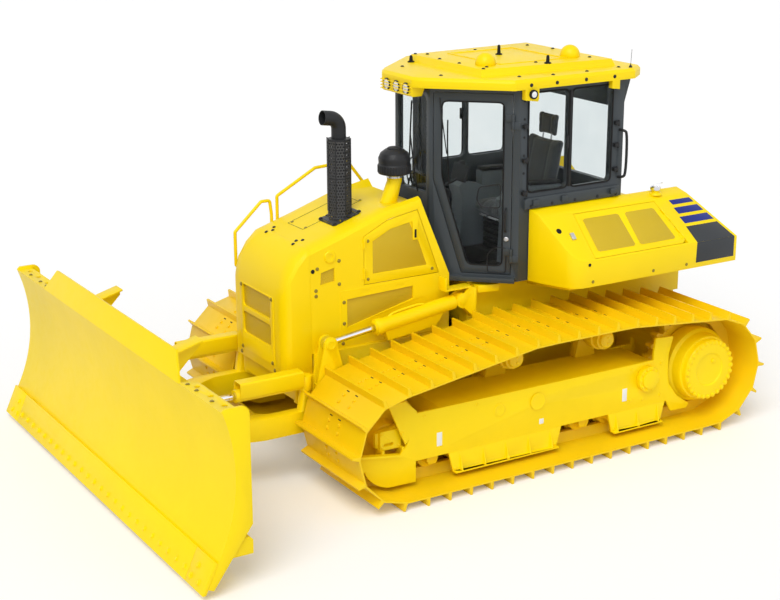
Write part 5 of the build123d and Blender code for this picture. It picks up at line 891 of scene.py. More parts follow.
# ------------------------------------------------------------------ undercarriage
def around(x: float, centre: tuple[float, float], radius: float, count: int, start: float = 0.0) -> list[Point]:
    """Give points evenly round a circle of y and z at one x, the first of them a share of a step round."""
    turns = (2 * math.pi * (i + start) / count for i in range(count))
    return [(x, centre[0] + radius * math.cos(a), centre[1] + radius * math.sin(a)) for a in turns]


@dataclass
class Undercarriage(Group):
    """Bolts, caps, covers and labels of both tracks."""

    track_x: float = 1.1075
    beside: float = 1.7
    pitch: float = 0.2032
    chain_z: float = 0.123
    idler: tuple[float, float, float] = (-0.900, 0.505, 0.382)
    sprocket: tuple[float, float, float] = (2.255, 0.550, 0.427)
    pivot: tuple[float, float] = (1.640, 0.555)
    carriers: tuple[float, float] = (0.335, 1.279)
    carrier_z: float = 0.927
    carrier_lift: float = 0.148
    shoe_face: float = 0.058
    rail: float = 0.079
    rollers: int = 8
    roller_front: float = -0.5057
    roller_rear: float = 1.608

    def pins(self) -> list[tuple[float, float]]:
        """Pin centres, evenly spaced along the closed pitch line."""
        (iy, iz, ir), (sy, sz, sr) = self.idler, self.sprocket
        c1, c2 = ((y, self.carrier_z + self.carrier_lift) for y in self.carriers)

        def leave(y: float, z: float, r: float, point: tuple[float, float], turn: int) -> float:
            """Angle at which the line to an outside point leaves a circle."""
            dy, dz = point[0] - y, point[1] - z
            return math.atan2(dz, dy) + turn * math.acos(r / math.hypot(dy, dz))

        a1, a2 = leave(iy, iz, ir, c1, 1), leave(sy, sz, sr, c2, -1)
        t1 = (iy + ir * math.cos(a1), iz + ir * math.sin(a1))
        t2 = (sy + sr * math.cos(a2), sz + sr * math.sin(a2))
        runs: list[tuple] = [
            ("arc", (iy, iz), ir, 1.5 * math.pi, a1), ("line", t1, c1), ("line", c1, c2), ("line", c2, t2),
            ("arc", (sy, sz), sr, a2, -0.5 * math.pi), ("line", (sy, self.chain_z), (iy, self.chain_z))]
        lengths = [run[2] * abs(run[4] - run[3]) if run[0] == "arc" else math.dist(run[1], run[2]) for run in runs]
        total = sum(lengths)
        count = round(total / self.pitch)
        pins = []
        for index in range(count):
            s = index * total / count
            for run, length in zip(runs, lengths):
                if s <= length:
                    break
                s -= length
            k = s / length
            if run[0] == "arc":
                a = run[3] + (run[4] - run[3]) * s / length
                pins.append((run[1][0] + run[2] * math.cos(a), run[1][1] + run[2] * math.sin(a)))
            else:
                pins.append((run[1][0] + (run[2][0] - run[1][0]) * k, run[1][1] + (run[2][1] - run[1][1]) * k))
        return pins

    def shoes(self) -> None:
        """Set four bolts and two dark blocks of painted shade, in the openings by the links, on every shoe."""
        pins = self.pins()
        for side, s in SIDES:
            heads, slot_shade_places = [], []
            for index, pin in enumerate(pins):
                ahead = pins[(index + 1) % len(pins)]
                along = Vector((0, ahead[0] - pin[0], ahead[1] - pin[1]))
                length = along.length
                along.normalize()
                out = Vector((0, -along.z, along.y))
                base = Vector((s * self.track_x, pin[0], pin[1])) + out * self.shoe_face
                turn = Matrix((Vector((1, 0, 0)), along, out)).transposed().to_4x4()
                for x in (-self.rail, self.rail):
                    for share in (0.42, 0.74):
                        spot = base + Vector((x, 0, 0)) + along * (length * share)
                        heads.append(Matrix.Translation(spot) @ turn @ Matrix.Rotation(0.4 * index, 4, "Z"))
                    spot = base + Vector((x * 0.82, 0, 0)) + along * (length * 0.955)
                    slot_shade_places.append(Matrix.Translation(spot) @ turn)
            self.copies(f"shoe_bolts_{side}", self.bench.bolt(0.026, False), heads, Paint.TRACK_YELLOW)
            # black blocks in the rubber finish: painted shade inside the openings by the links
            slot_shade = self.bench.block("slot_shade", (-0.021, -0.006, -0.004), (0.021, 0.006, 0.0008), 0.002, 1)
            self.copies(f"link_slot_shades_{side}", slot_shade, slot_shade_places, Paint.RUBBER)

    def drives(self) -> None:
        """Bolts of the final drives, the pivot, the idler blocks, the carriers and the rollers."""
        hub = self.sprocket[:2]
        span = self.roller_rear - self.roller_front
        for side, s in SIDES:
            x, toward = s * self.beside, (-s, 0, 0)
            self.bolts(f"drive_cover_bolts_{side}", "final_drives", around(x, hub, 0.247, 28), toward, 0.028,
                       Paint.YELLOW)
            self.stud(f"drive_level_plug_{side}", "final_drives", (x, 2.30, 0.62), toward, (
                (0.020, -0.001), (0.020, 0.008), (0.014, 0.012), (0.008, 0.012)), Paint.YELLOW, sides=18)
            rows = (
                ("sprocket_bolts", "sprockets", 0.026, Paint.TRACK_YELLOW, around(x, hub, 0.385, 30, 0.5)),
                ("pivot_cap_bolts", "pivot_shaft", 0.024, Paint.YELLOW, around(x, self.pivot, 0.094, 10)),
                ("idler_block_bolts", "track_frames", 0.022, Paint.YELLOW, [
                    (x, self.idler[0] + y, self.idler[1] + z) for y in (-0.075, 0.075) for z in (-0.055, 0.055)]),
                ("pivot_plate_bolts", "track_frames", 0.022, Paint.YELLOW, [
                    (x, y, z) for y, z in ((1.47, 0.66), (1.47, 0.38), (1.60, 0.37), (1.80, 0.37), (1.80, 0.66))]))
            for name, node, size, paint, starts in rows:
                self.bolts(f"{name}_{side}", node, starts, toward, size, paint)
            caps = [(x, y, self.carrier_z + z) for y in self.carriers for z in (-0.025, 0.025)]
            self.bolts(f"carrier_cap_bolts_{side}", "carrier_rollers", caps, toward, 0.018, Paint.YELLOW, washer=False)
            ends = [(s * 1.30, self.roller_front + span * i / (self.rollers - 1) + y, 0.27)
                    for i in range(self.rollers) for y in (-0.035, 0.035)]
            self.bolts(f"roller_end_bolts_{side}", "track_rollers", ends, toward, 0.020, Paint.TRACK_YELLOW)

    def covers(self) -> None:
        """Cover plates, rims and blank labels on the outer sides of the track frames."""
        for side, s in SIDES:
            far, toward = s * self.beside, (-s, 0, 0)
            for tag, y, z, radius in (("adjuster", 0.10, 0.57, 0.055), ("equalizer", 0.480, 0.571, 0.075)):
                self.stud(f"{tag}_cover_{side}", "track_frames", (far, y, z), toward, (
                    (radius, -0.002), (radius, 0.004), (radius - 0.006, 0.007), (radius - 0.014, 0.007),
                    (radius - 0.020, 0.005), (radius * 0.3, 0.005)), Paint.YELLOW, sides=40, axis=(s, 0, 0))
            for index, (y, z, w, h) in enumerate(((-0.478, 0.439, 0.05, 0.115), (1.405, 0.444, 0.05, 0.115),
                                                  (0.527, 0.385, 0.045, 0.045))):
                found = self.bench.hit("track_frames", (far, y, z), toward)
                if found:
                    corners = [(found[0].x, y + j * w / 2, z + k * h / 2)
                               for j, k in ((-1, -1), (1, -1), (1, 1), (-1, 1))]
                    self.plate(f"frame_label_{index}_{side}", corners, (s * 0.0012, 0, 0), 0.0004, Paint.LABEL)
            upper = [(far, y, 0.66) for y in (-0.62, -0.12)]
            self.bolts(f"frame_side_bolts_{side}", "track_frames", upper, toward, 0.018, Paint.YELLOW)
            guard = [(far, y, 0.155) for y0, y1 in ((-0.386, 0.735), (1.235, 1.860))
                     for y in (y0 + 0.06, (y0 + y1) / 2, y1 - 0.06)]
            self.bolts(f"guard_bolts_{side}", "roller_guards", guard, toward, 0.022, Paint.YELLOW)

    def build(self) -> None:
        """Build all of it."""
        self.shoes()
        self.drives()
        self.covers()


# ------------------------------------------------------------------ hood
@dataclass
class Bonnet(Group):
    """Fasteners, lifting eyes, plugs and seams of the hood and its doors."""

    ahead: float = -2.0
    beside: float = 0.9
    above: float = 3.0

    def front(self) -> None:
        """Corner bolts of the nose frame and bolts of the lower panel."""
        for name, corners in (("nose_frame_bolts", [(0.270, self.ahead, 1.465), (0.270, self.ahead, 0.925)]),
                              ("nose_panel_bolts", [(0.300, self.ahead, 0.870)])):
            self.bolts(name, "front_mask", self.both(corners), (0, 1, 0), 0.022, Paint.BOLT)

    def top(self) -> None:
        """Bolt trios, the access panel with its raised seam and its screws."""
        down = (0, 0, -1)
        trio = self.both([(0.235, -1.165, self.above), (0.205, -1.120, self.above), (0.250, -1.085, self.above)])
        self.bolts("hood_top_bolts", "front_mask", trio, down, 0.020, Paint.BLACK)
        self.bolts("hood_top_bolts_rear", "hood", trio, down, 0.020, Paint.BLACK)
        ring = [(-0.20, -0.98), (0.06, -0.98), (0.06, -0.45), (-0.20, -0.45)]
        path = []
        for (x0, y0), (x1, y1) in zip(ring, ring[1:] + ring[:1]):
            for k in (0.0, 0.25, 0.5, 0.75):
                found = self.bench.hit("hood", (x0 + (x1 - x0) * k, y0 + (y1 - y0) * k, self.above), down)
                if found:
                    path.append(found[0])
        if path:
            self.tube("hood_panel_seam", path + [path[0]], 0.0022, Paint.BLACK, order=2)
        self.bolts("hood_panel_screws", "hood", [(x * 0.9, y * 0.97, self.above) for x, y in ring], down, 0.018,
                   Paint.BOLT)

    def lifting_eyes(self) -> None:
        """Round lifting bosses on both shoulders."""
        for side, s in SIDES:
            self.stud(f"lifting_boss_{side}", "hood", (s * self.beside, -0.955, 1.80), (-s, 0, 0), (
                (0.052, -0.02), (0.052, 0.006), (0.046, 0.012), (0.026, 0.012), (0.024, 0.006), (0.010, 0.006)),
                      Paint.YELLOW, axis=(s, 0, 0))

    def latch(self, side: str, s: int, y: float, z: float) -> None:
        """Put the latch and its grip on an engine door."""
        door = f"engine_door_{side}"
        spot = self.bench.hit(door, (s * self.beside, y, z), (-s, 0, 0))
        if spot:
            x = spot[0].x
            self.block(f"engine_latch_{side}", (x - s * 0.006, y - 0.024, z - 0.055),
                       (x + s * 0.010, y + 0.024, z + 0.055), 0.004, Paint.YELLOW, door)
            self.block(f"engine_latch_grip_{side}", (x, y - 0.010, z - 0.036), (x + s * 0.013, y + 0.010, z + 0.036),
                       0.003, Paint.RUBBER, door)

    def flanks(self) -> None:
        """Screens' bolts, the black plug and the door latches on both flanks."""
        for side, s in SIDES:
            far, toward, door = s * self.beside, (-s, 0, 0), f"engine_door_{side}"
            corners = [(far, y, z) for y, z in ((-1.085, 1.535), (-1.070, 1.715), (-0.870, 1.755), (-0.870, 1.560),
                                                (-1.085, 1.490))]
            self.bolts(f"screen_bolts_{side}", "hood", corners, toward, 0.020, Paint.BOLT)
            self.stud(f"hood_plug_{side}", "hood", (far, -1.112, 1.700), toward, (
                (0.017, -0.002), (0.017, 0.003), (0.012, 0.006), (0.004, 0.006)), Paint.RUBBER, sides=24)
            lower = [(far, y, z) for y, z in ((-0.83, 1.40), (-0.83, 1.22), (-0.62, 1.12), (-0.30, 1.12),
                                              (-0.84, 1.05))]
            self.bolts(f"lower_panel_bolts_{side}", "hood", lower, toward, 0.020, Paint.BOLT)
            self.latch(side, s, -0.147, 1.885)
            screws = [(far, y, z) for y, z in ((-0.60, 1.56), (0.02, 1.56), (-0.60, 1.88))]
            self.bolts(f"engine_door_screws_{side}", door, screws, toward, 0.018, Paint.BOLT, door)

    def build(self) -> None:
        """Build all of it."""
        self.front()
        self.top()
        self.lifting_eyes()
        self.flanks()


@dataclass
class Stack(Group):
    """Flange bolts, ribs and clamps of the exhaust and the air intake."""

    at: tuple[float, float] = (0.160, -0.690)
    intake: tuple[float, float] = (0.220, -0.200)
    guard_r: float = 0.0985

    def exhaust(self) -> None:
        """Guard's corner strips, joint band and flange bolts."""
        x, y = self.at
        strips = []
        for index in range(8):
            a = math.pi / 4 * index
            cx, cy = x + self.guard_r * math.cos(a), y + self.guard_r * math.sin(a)
            strips.append(self.bench.block("strip", (cx - 0.004, cy - 0.004, 2.08), (cx + 0.004, cy + 0.004, 2.69),
                                           0.0015, 1))
        self.join("guard_strips", strips, Paint.BLACK)
        for tag, z in (("low", 2.36), ("top", 2.672)):
            self.turned(f"guard_band_{tag}", (x, y, z), (0, 0, 1), (
                (self.guard_r, 0.0), (0.1025, 0.002), (0.1025, 0.010), (self.guard_r, 0.012)), Paint.BLACK, sides=8)
        buttons = [self.bench.place((x - 0.106, y + 0.03, z), (-1, 0, 0)) for z in (2.18, 2.34, 2.50, 2.62)]
        self.copies("guard_buttons", self.bench.bolt(0.022, False), buttons, Paint.BLACK)
        flange = [(x + dx, y + dy, 3.0) for dx in (-0.115, 0.115) for dy in (-0.115, 0.115)]
        self.bolts("guard_flange_bolts", "exhaust_guard", flange, (0, 0, -1), 0.024, Paint.BLACK)

    def precleaner(self) -> None:
        """Ribs, rim and lid of the pre-cleaner, and the clamp on its pipe."""
        x, y = self.intake
        rib = self.bench.block("rib", (0.1365, -0.0045, 2.366), (0.1405, 0.0045, 2.424), 0.0012, 1)
        centre = Matrix.Translation((x, y, 0))
        turns = [centre @ Matrix.Rotation(2 * math.pi * i / 36, 4, "Z") for i in range(36)]
        self.copies("precleaner_ribs", rib, turns, Paint.MOULDED)
        self.turned("precleaner_lid", (x, y, 2.555), (0, 0, 1), (
            (0.060, 0.0), (0.060, 0.010), (0.050, 0.016), (0.016, 0.018)), Paint.MOULDED, sides=40)
        self.turned("intake_clamp", (x, y, 2.318), (0, 0, 1), (
            (0.0625, 0.0), (0.0665, 0.002), (0.0665, 0.016), (0.0625, 0.018)), Paint.ZINC, sides=40)
        screw = self.bench.place((x + 0.066, y - 0.01, 2.327), (0, -1, 0))
        self.copies("clamp_screw", self.bench.bolt(0.014, False), [screw], Paint.ZINC)

    def build(self) -> None:
        """Build all of it."""
        self.exhaust()
        self.precleaner()


# ------------------------------------------------------------------ side boxes and tail
@dataclass
class SideBoxes(Group):
    """Stripes, dark panels, latches, plugs and fillers of the side boxes."""

    fold: tuple[float, float] = (0.900, 2.000)
    waist: tuple[float, float] = (1.247, 1.650)
    rear: tuple[float, float, float, float] = (2.385, 2.013, 2.690, 1.645)
    lift: float = 0.0018
    beside: float = 1.9

    def slant(self, x: float, s: int) -> tuple[float, float]:
        """Give x and z of a point on the slanted face of one side."""
        (x0, z0), (x1, z1) = self.fold, self.waist
        return s * x, z0 + (z1 - z0) * ((x - x0) / (x1 - x0))

    def rear_limit(self, z: float, margin: float = 0.03) -> float:
        """Give y of the rear slope at a height, less a margin."""
        y0, z0, y1, z1 = self.rear
        return (y1 if z <= z1 else y0 + (z - z0) * (y1 - y0) / (z1 - z0)) - margin

    def stripes(self) -> None:
        """Three blue stripes and the dark panel round the fold on both boxes."""
        for side, s in SIDES:
            out = Vector((s * 0.710, 0, 0.704)) * self.lift
            for index, (front, x0, x1) in enumerate(((2.160, 0.932, 0.966), (2.172, 0.988, 1.034),
                                                     (2.184, 1.056, 1.106))):
                (ax, az), (bx, bz) = self.slant(x0, s), self.slant(x1, s)
                outline = [(ax, front, az), (ax, self.rear_limit(az), az), (bx, self.rear_limit(bz), bz),
                           (bx, front + 0.022, bz)]
                self.plate(f"stripe_{index}_{side}", outline, out, 0.0005, Paint.BLUE)
            (cx, cz), (wx, wz) = self.slant(1.128, s), self.slant(1.247, s)
            upper = [(cx, 2.200, cz), (cx, self.rear_limit(cz), cz), (wx, self.rear_limit(wz), wz), (wx, 2.232, wz)]
            lower = [(wx, 2.232, wz), (wx, 2.660, wz), (wx, 2.660, 1.470), (wx, 2.226, 1.470)]
            self.plate(f"panel_upper_{side}", upper, out, 0.0005, Paint.PANEL)
            self.plate(f"panel_lower_{side}", lower, (s * self.lift, 0, 0), 0.0005, Paint.PANEL)

    def latches(self, side: str, s: int) -> None:
        """Put the latch of a box and the latch and grip of its door in place."""
        door = f"service_door_{side}"
        for node, start, parts in (
                ("side_boxes", (s * self.beside, 1.010, 2.66), (
                    ("box_latch", (0.020, 0.032), -0.004, 0.016, 0.004, Paint.ZINC, "chassis"),)),
                (door, (s * self.beside, 1.215, 2.51), (
                    ("service_latch", (0.038, 0.060), -0.006, 0.010, 0.006, Paint.YELLOW, door),
                    ("service_grip", (0.016, 0.036), 0.004, 0.014, 0.004, Paint.RUBBER, door)))):
            found = self.bench.hit(node, start, (-s, 0, -1))
            for name, (x, y), low, high, bevel, paint, body in parts if found else ():
                piece = self.bench.block(name, (-x, -y, low), (x, y, high), bevel)
                self.copies(f"{name}_{side}", piece, [self.bench.place(*found)], paint, body)

    def filler(self, side: str, s: int) -> None:
        """Put a filler neck with its cap and clip on a box."""
        neck = self.stud(f"filler_neck_{side}", "side_boxes", (s * 0.852, 2.075, 2.6), (0, 0, -1), (
            (0.060, -0.004), (0.052, 0.014), (0.034, 0.018), (0.034, 0.040), (0.020, 0.042)), Paint.YELLOW,
                         axis=(0, 0, 1))
        if neck:
            x, y, z = neck
            self.turned(f"filler_cap_{side}", (x, y, z + 0.038), (0, 0, 1), (
                (0.044, 0.0), (0.046, 0.008), (0.046, 0.026), (0.036, 0.034), (0.012, 0.036)), Paint.CHROME)
            self.tube(f"filler_clip_{side}", ((x - 0.03, y, z + 0.070), (x, y + 0.03, z + 0.085),
                                              (x + 0.035, y + 0.05, z + 0.10)), 0.004, Paint.CHROME)

    def fittings(self) -> None:
        """Black plugs, latches, fillers and screws."""
        for side, s in SIDES:
            self.stud(f"box_plug_{side}", "side_boxes", (s * 1.8, 0.905, 2.66), (-s, 0, -1), (
                (0.024, -0.002), (0.024, 0.003), (0.018, 0.006), (0.005, 0.006)), Paint.RUBBER, sides=28)
            self.stud(f"box_plug_low_{side}", "side_boxes", (s * self.beside, 1.06, 1.62), (-s, 0, 0), (
                (0.014, -0.002), (0.014, 0.003), (0.010, 0.005), (0.004, 0.005)), Paint.RUBBER, sides=20)
            self.latches(side, s)
            self.filler(side, s)
            screws = [(s * self.beside, y, 1.47) for y in (1.10, 1.75, 2.12)]
            self.bolts(f"box_side_screws_{side}", "side_boxes", screws, (-s, 0, 0), 0.018, Paint.BOLT)

    def build(self) -> None:
        """Build all of it."""
        self.stripes()
        self.fittings()


@dataclass
class Tail(Group):
    """Radiator grille and lamps of the rear face."""

    half: float = 0.45
    low: float = 1.10
    high: float = 1.60

    def grille(self) -> None:
        """A framed dark screen with bars on the rear face."""
        spot = self.bench.hit("rear_tank", (0.0, 3.4, 1.50), (0, -1, 0))
        if not spot:
            return
        y, edge = spot[0].y, self.half - 0.01
        sheet = [(-edge, y, self.low), (edge, y, self.low), (edge, y, self.high), (-edge, y, self.high)]
        self.plate("tail_screen", sheet, (0, 0.002, 0), 0.0008, Paint.DARK_SCREEN)
        bars = [self.bench.block("bar", (-self.half, y, z), (self.half, y + 0.008, z + 0.012), 0.003)
                for z in (1.098, 1.220, 1.345, 1.470, 1.590)]
        bars += [self.bench.block("post", (x - 0.010, y, self.low - 0.01), (x + 0.010, y + 0.009, self.high + 0.01),
                                  0.003) for x in (-self.half, 0.0, self.half)]
        self.join("tail_screen_frame", bars, Paint.YELLOW)

    def lamps(self) -> None:
        """Rear working lamps on the box behind the cab, and red marker lamps."""
        for index, x in enumerate((-0.36, 0.36)):
            at = self.stud(f"rear_lamp_{index}", "rear_box", (x, 3.2, 2.90), (0, -1, 0), (
                (0.060, -0.010), (0.064, 0.004), (0.064, 0.024), (0.056, 0.026), (0.052, 0.020)), Paint.BLACK,
                           sides=28, axis=(0, 1, 0))
            if at:
                self.turned(f"rear_lens_{index}", (at.x, at.y + 0.018, at.z), (0, 1, 0), (
                    (0.052, 0.0), (0.048, 0.006), (0.030, 0.010), (0.010, 0.011)), Paint.LENS, sides=28)
        for side, s in SIDES:
            found = self.bench.hit("side_boxes", (s * 1.10, 3.3, 1.56), (0, -1, 0))
            if found:
                x, y, z = found[0]
                self.block(f"marker_{side}", (x - 0.045, y - 0.002, z - 0.028), (x + 0.045, y + 0.004, z + 0.028),
                           0.0028, Paint.RED)

    def build(self) -> None:
        """Build all of it."""
        self.grille()
        self.lamps()


@dataclass
class Screens(Group):
    """Ochre screens of the engine doors, the service doors and the engine bay; the ochre is their yellow darkened by
    painted shade.
    """

    engine: tuple[tuple[float, float], ...] = (
        (-0.575, 1.600), (-0.585, 1.620), (-0.585, 1.880), (-0.572, 1.900), (-0.410, 1.968), (-0.235, 1.995),
        (-0.205, 1.985), (-0.015, 1.625), (-0.028, 1.600))
    bay: tuple[tuple[float, float], ...] = ((-0.805, 1.425), (-0.165, 1.445), (-0.165, 1.325), (-0.805, 1.175))
    bay_x: float = 0.4475
    inner: float = 0.965
    outer: float = 1.195
    chamfer: float = 0.01

    def service(self, s: int, front: float, rear: float, lean: float) -> list[Point]:
        """Give the outline of one screen on the slanted service door."""
        cut = self.chamfer
        corners = ((self.inner, front + 2 * cut), (self.inner + cut, front), (self.outer - cut, front),
                   (self.outer, front + 2 * cut), (self.outer, rear + lean - 2 * cut), (self.outer - cut, rear + lean),
                   (self.inner + cut, rear), (self.inner, rear - 2 * cut))
        return [(s * x, y, 2.000 - 0.350 * (x - 0.900) / 0.347) for x, y in corners]

    def build(self) -> None:
        """Build all of it."""
        for side, s in SIDES:
            door = f"engine_door_{side}"
            found = self.bench.hit(door, (s * 0.9, -0.33, 1.75), (-s, 0, 0))
            if found:
                outline = [(found[0].x, y, z) for y, z in self.engine]
                self.plate(f"engine_screen_{side}", outline, (s * 0.0016, 0, 0), 0.0005, Paint.SCREEN, door)
            bay = [(s * self.bay_x, y, z) for y, z in self.bay]
            self.plate(f"bay_screen_{side}", bay, (s * 0.002, 0, 0), 0.0006, Paint.SCREEN)
            out = Vector((s * 0.710, 0, 0.704)) * 0.0022
            for index, reach in enumerate(((1.190, 1.570, 0.02), (1.640, 1.960, 0.07))):
                self.plate(f"service_screen_{index}_{side}", self.service(s, *reach), out, 0.0006, Paint.SCREEN,
                           f"service_door_{side}")


# ------------------------------------------------------------------ cab
@dataclass
class CabOutside(Group):
    """Seals, handles, wipers, hooks and rails of the cab."""

    front: tuple[float, float] = (0.270, 0.110)
    pillar: tuple[float, float] = (0.790, 0.660)
    pane_x: float = 0.7925
    beside: float = 1.2

    def door_point(self, s: int, u: float, z: float, out: float = 0.0) -> Point:
        """Give a point u along one side's slanted door plane, at a height and a distance outwards."""
        (x0, y0), (x1, y1) = self.front, self.pillar
        length = math.hypot(x1 - x0, y1 - y0)
        ax, ay = (x1 - x0) / length, (y1 - y0) / length
        return (s * (x0 + ax * u + ay * out), y0 + ay * u - ax * out, z)

    def ring(self, corners: Sequence[Triple], radius: float) -> list[Vector]:
        """Round the corners of a closed outline of points in space."""
        path: list[Vector] = []
        for index, corner in enumerate(corners):
            here = Vector(corner)
            before, after = Vector(corners[index - 1]), Vector(corners[(index + 1) % len(corners)])
            a = here + (before - here).normalized() * radius
            b = here + (after - here).normalized() * radius
            for k in (0.0, 0.25, 0.5, 0.75, 1.0):
                path.append(a * (1 - k) ** 2 + here * 2 * k * (1 - k) + b * k ** 2)
        return path + [path[0]]

    def seals(self) -> None:
        """Rubber seals round the door glass, the moulded handle pockets, the grips and the locks."""
        rings = (
            ("door_seal", 0.001, 0.05, 0.006, Paint.RUBBER, (
                (0.105, 2.935), (0.105, 2.305), (0.327, 1.558), (0.622, 1.558), (0.622, 2.935))),
            ("door_pocket", 0.003, 0.03, 0.005, Paint.BLACK, (
                (0.42, 2.225), (0.40, 2.110), (0.455, 2.055), (0.600, 2.055), (0.600, 2.260))),
            ("door_lower_pocket", 0.003, 0.025, 0.005, Paint.BLACK, (
                (0.500, 1.500), (0.500, 1.660), (0.560, 1.715), (0.655, 1.715), (0.655, 1.500))))
        for side, s in SIDES:
            door = f"cab_door_{side}"
            for name, out, corner, radius, paint, outline in rings:
                path = self.ring([self.door_point(s, u, z, out) for u, z in outline], corner)
                self.tube(f"{name}_{side}", path, radius, paint, door, order=2)
            grip = [self.door_point(s, 0.648, z, out) for z, out in (
                (1.86, 0.0), (1.86, 0.045), (1.89, 0.055), (2.02, 0.055), (2.05, 0.045), (2.05, 0.0))]
            self.tube(f"door_grip_{side}", grip, 0.009, Paint.BLACK, door)
            at = self.door_point(s, 0.655, 1.79)
            axis = Vector(self.door_point(s, 0.655, 1.79, 1.0)) - Vector(at)
            self.turned(f"door_lock_{side}", at, axis, (
                (0.020, -0.002), (0.020, 0.006), (0.015, 0.010), (0.006, 0.010)), Paint.ZINC, door, 24)

    def panes(self) -> None:
        """Seals, post and latch of the sliding side panes."""
        for side, s in SIDES:
            x = s * self.pane_x
            for index, (y0, y1) in enumerate(((0.738, 1.153), (1.183, 1.614))):
                path = self.ring([(x, y0, 3.010), (x, y0, 2.180), (x, y1, 2.180), (x, y1, 3.010)], 0.05)
                self.tube(f"pane_seal_{index}_{side}", path, 0.007, Paint.RUBBER, order=2)
            self.block(f"pane_post_{side}", (x - s * 0.01, 1.158, 2.19), (x + s * 0.012, 1.178, 3.00), 0.003,
                       Paint.BLACK)
            self.block(f"pane_latch_{side}", (x, 1.130, 2.52), (x + s * 0.016, 1.150, 2.62), 0.004, Paint.MOULDED)
            self.pillars(side, s)

    def pillars(self, side: str, s: int) -> None:
        """Hooks, grab rail, brackets and bolts of one side's pillars and sill."""
        toward, hooks, brackets = (-s, 0, 0), [], []
        for y, heights in ((0.700, (2.742, 2.458, 2.182)), (1.655, (2.680, 2.490, 2.281))):
            for z in heights:
                hooks.append(self.bench.block("hook", (s * 0.782, y - 0.022, z - 0.016),
                                              (s * 0.824, y + 0.022, z + 0.016), 0.004))
                hooks.append(self.bench.turned("hook_pin", (s * 0.812, y + 0.018, z - 0.026), (0, 0, 1), (
                    (0.007, 0.0), (0.010, 0.004), (0.010, 0.046), (0.006, 0.052)), 12))
        self.join(f"pillar_hooks_{side}", hooks, Paint.BLACK)
        rail = [(s * x, y, z) for x, y, z in (
            (0.785, 1.700, 2.615), (0.835, 1.715, 2.615), (0.845, 1.740, 2.590), (0.845, 1.740, 2.240),
            (0.835, 1.715, 2.205), (0.785, 1.700, 2.205))]
        self.tube(f"rear_grab_{side}", rail, 0.012, Paint.BLACK)
        for y in (0.80, 1.10, 1.62):
            found = self.bench.hit("cab_shell", (s * self.beside, y, 2.094), toward)
            if found:
                x = found[0].x
                brackets.append(self.bench.block("bracket", (x - s * 0.004, y - 0.03, 2.074),
                                                 (x + s * 0.022, y + 0.03, 2.124), 0.005))
        self.join(f"sill_brackets_{side}", brackets, Paint.CHARCOAL)
        sill = [(s * self.beside, y, 2.070) for y in (0.76, 0.98, 1.22, 1.46, 1.66)]
        self.bolts(f"sill_bolts_{side}", "cab_shell", sill, toward, 0.018, Paint.BLACK)
        posts = [(s * self.beside, 0.70, 2.05 + 0.15 * i) for i in range(1, 7)]
        self.bolts(f"pillar_bolts_{side}", "cab_shell", posts, toward, 0.014, Paint.BLACK)

    def wipers(self) -> None:
        """A wiper on the windscreen and one on each door glass."""
        y = 0.098
        self.tube("wiper_arm", ((0.10, y + 0.006, 2.14), (0.09, y - 0.014, 2.22), (0.02, y - 0.018, 2.62)), 0.006,
                  Paint.BLACK)
        self.tube("wiper_blade", ((-0.02, y - 0.004, 2.30), (0.0, y - 0.010, 2.60), (0.02, y - 0.004, 2.90)), 0.007,
                  Paint.RUBBER)
        for side, s in SIDES:
            for name, radius, paint, points in (
                    ("arm", 0.005, Paint.BLACK, (
                        (0.085, 2.96, 0.004), (0.095, 2.90, 0.026), (0.150, 2.50, 0.022))),
                    ("blade", 0.006, Paint.RUBBER, (
                        (0.155, 2.78, 0.008), (0.150, 2.50, 0.014), (0.170, 2.25, 0.008)))):
                self.tube(f"door_wiper_{name}_{side}", [self.door_point(s, *point) for point in points], radius, paint,
                          f"cab_door_{side}")

    def build(self) -> None:
        """Build all of it."""
        self.seals()
        self.panes()
        self.wipers()


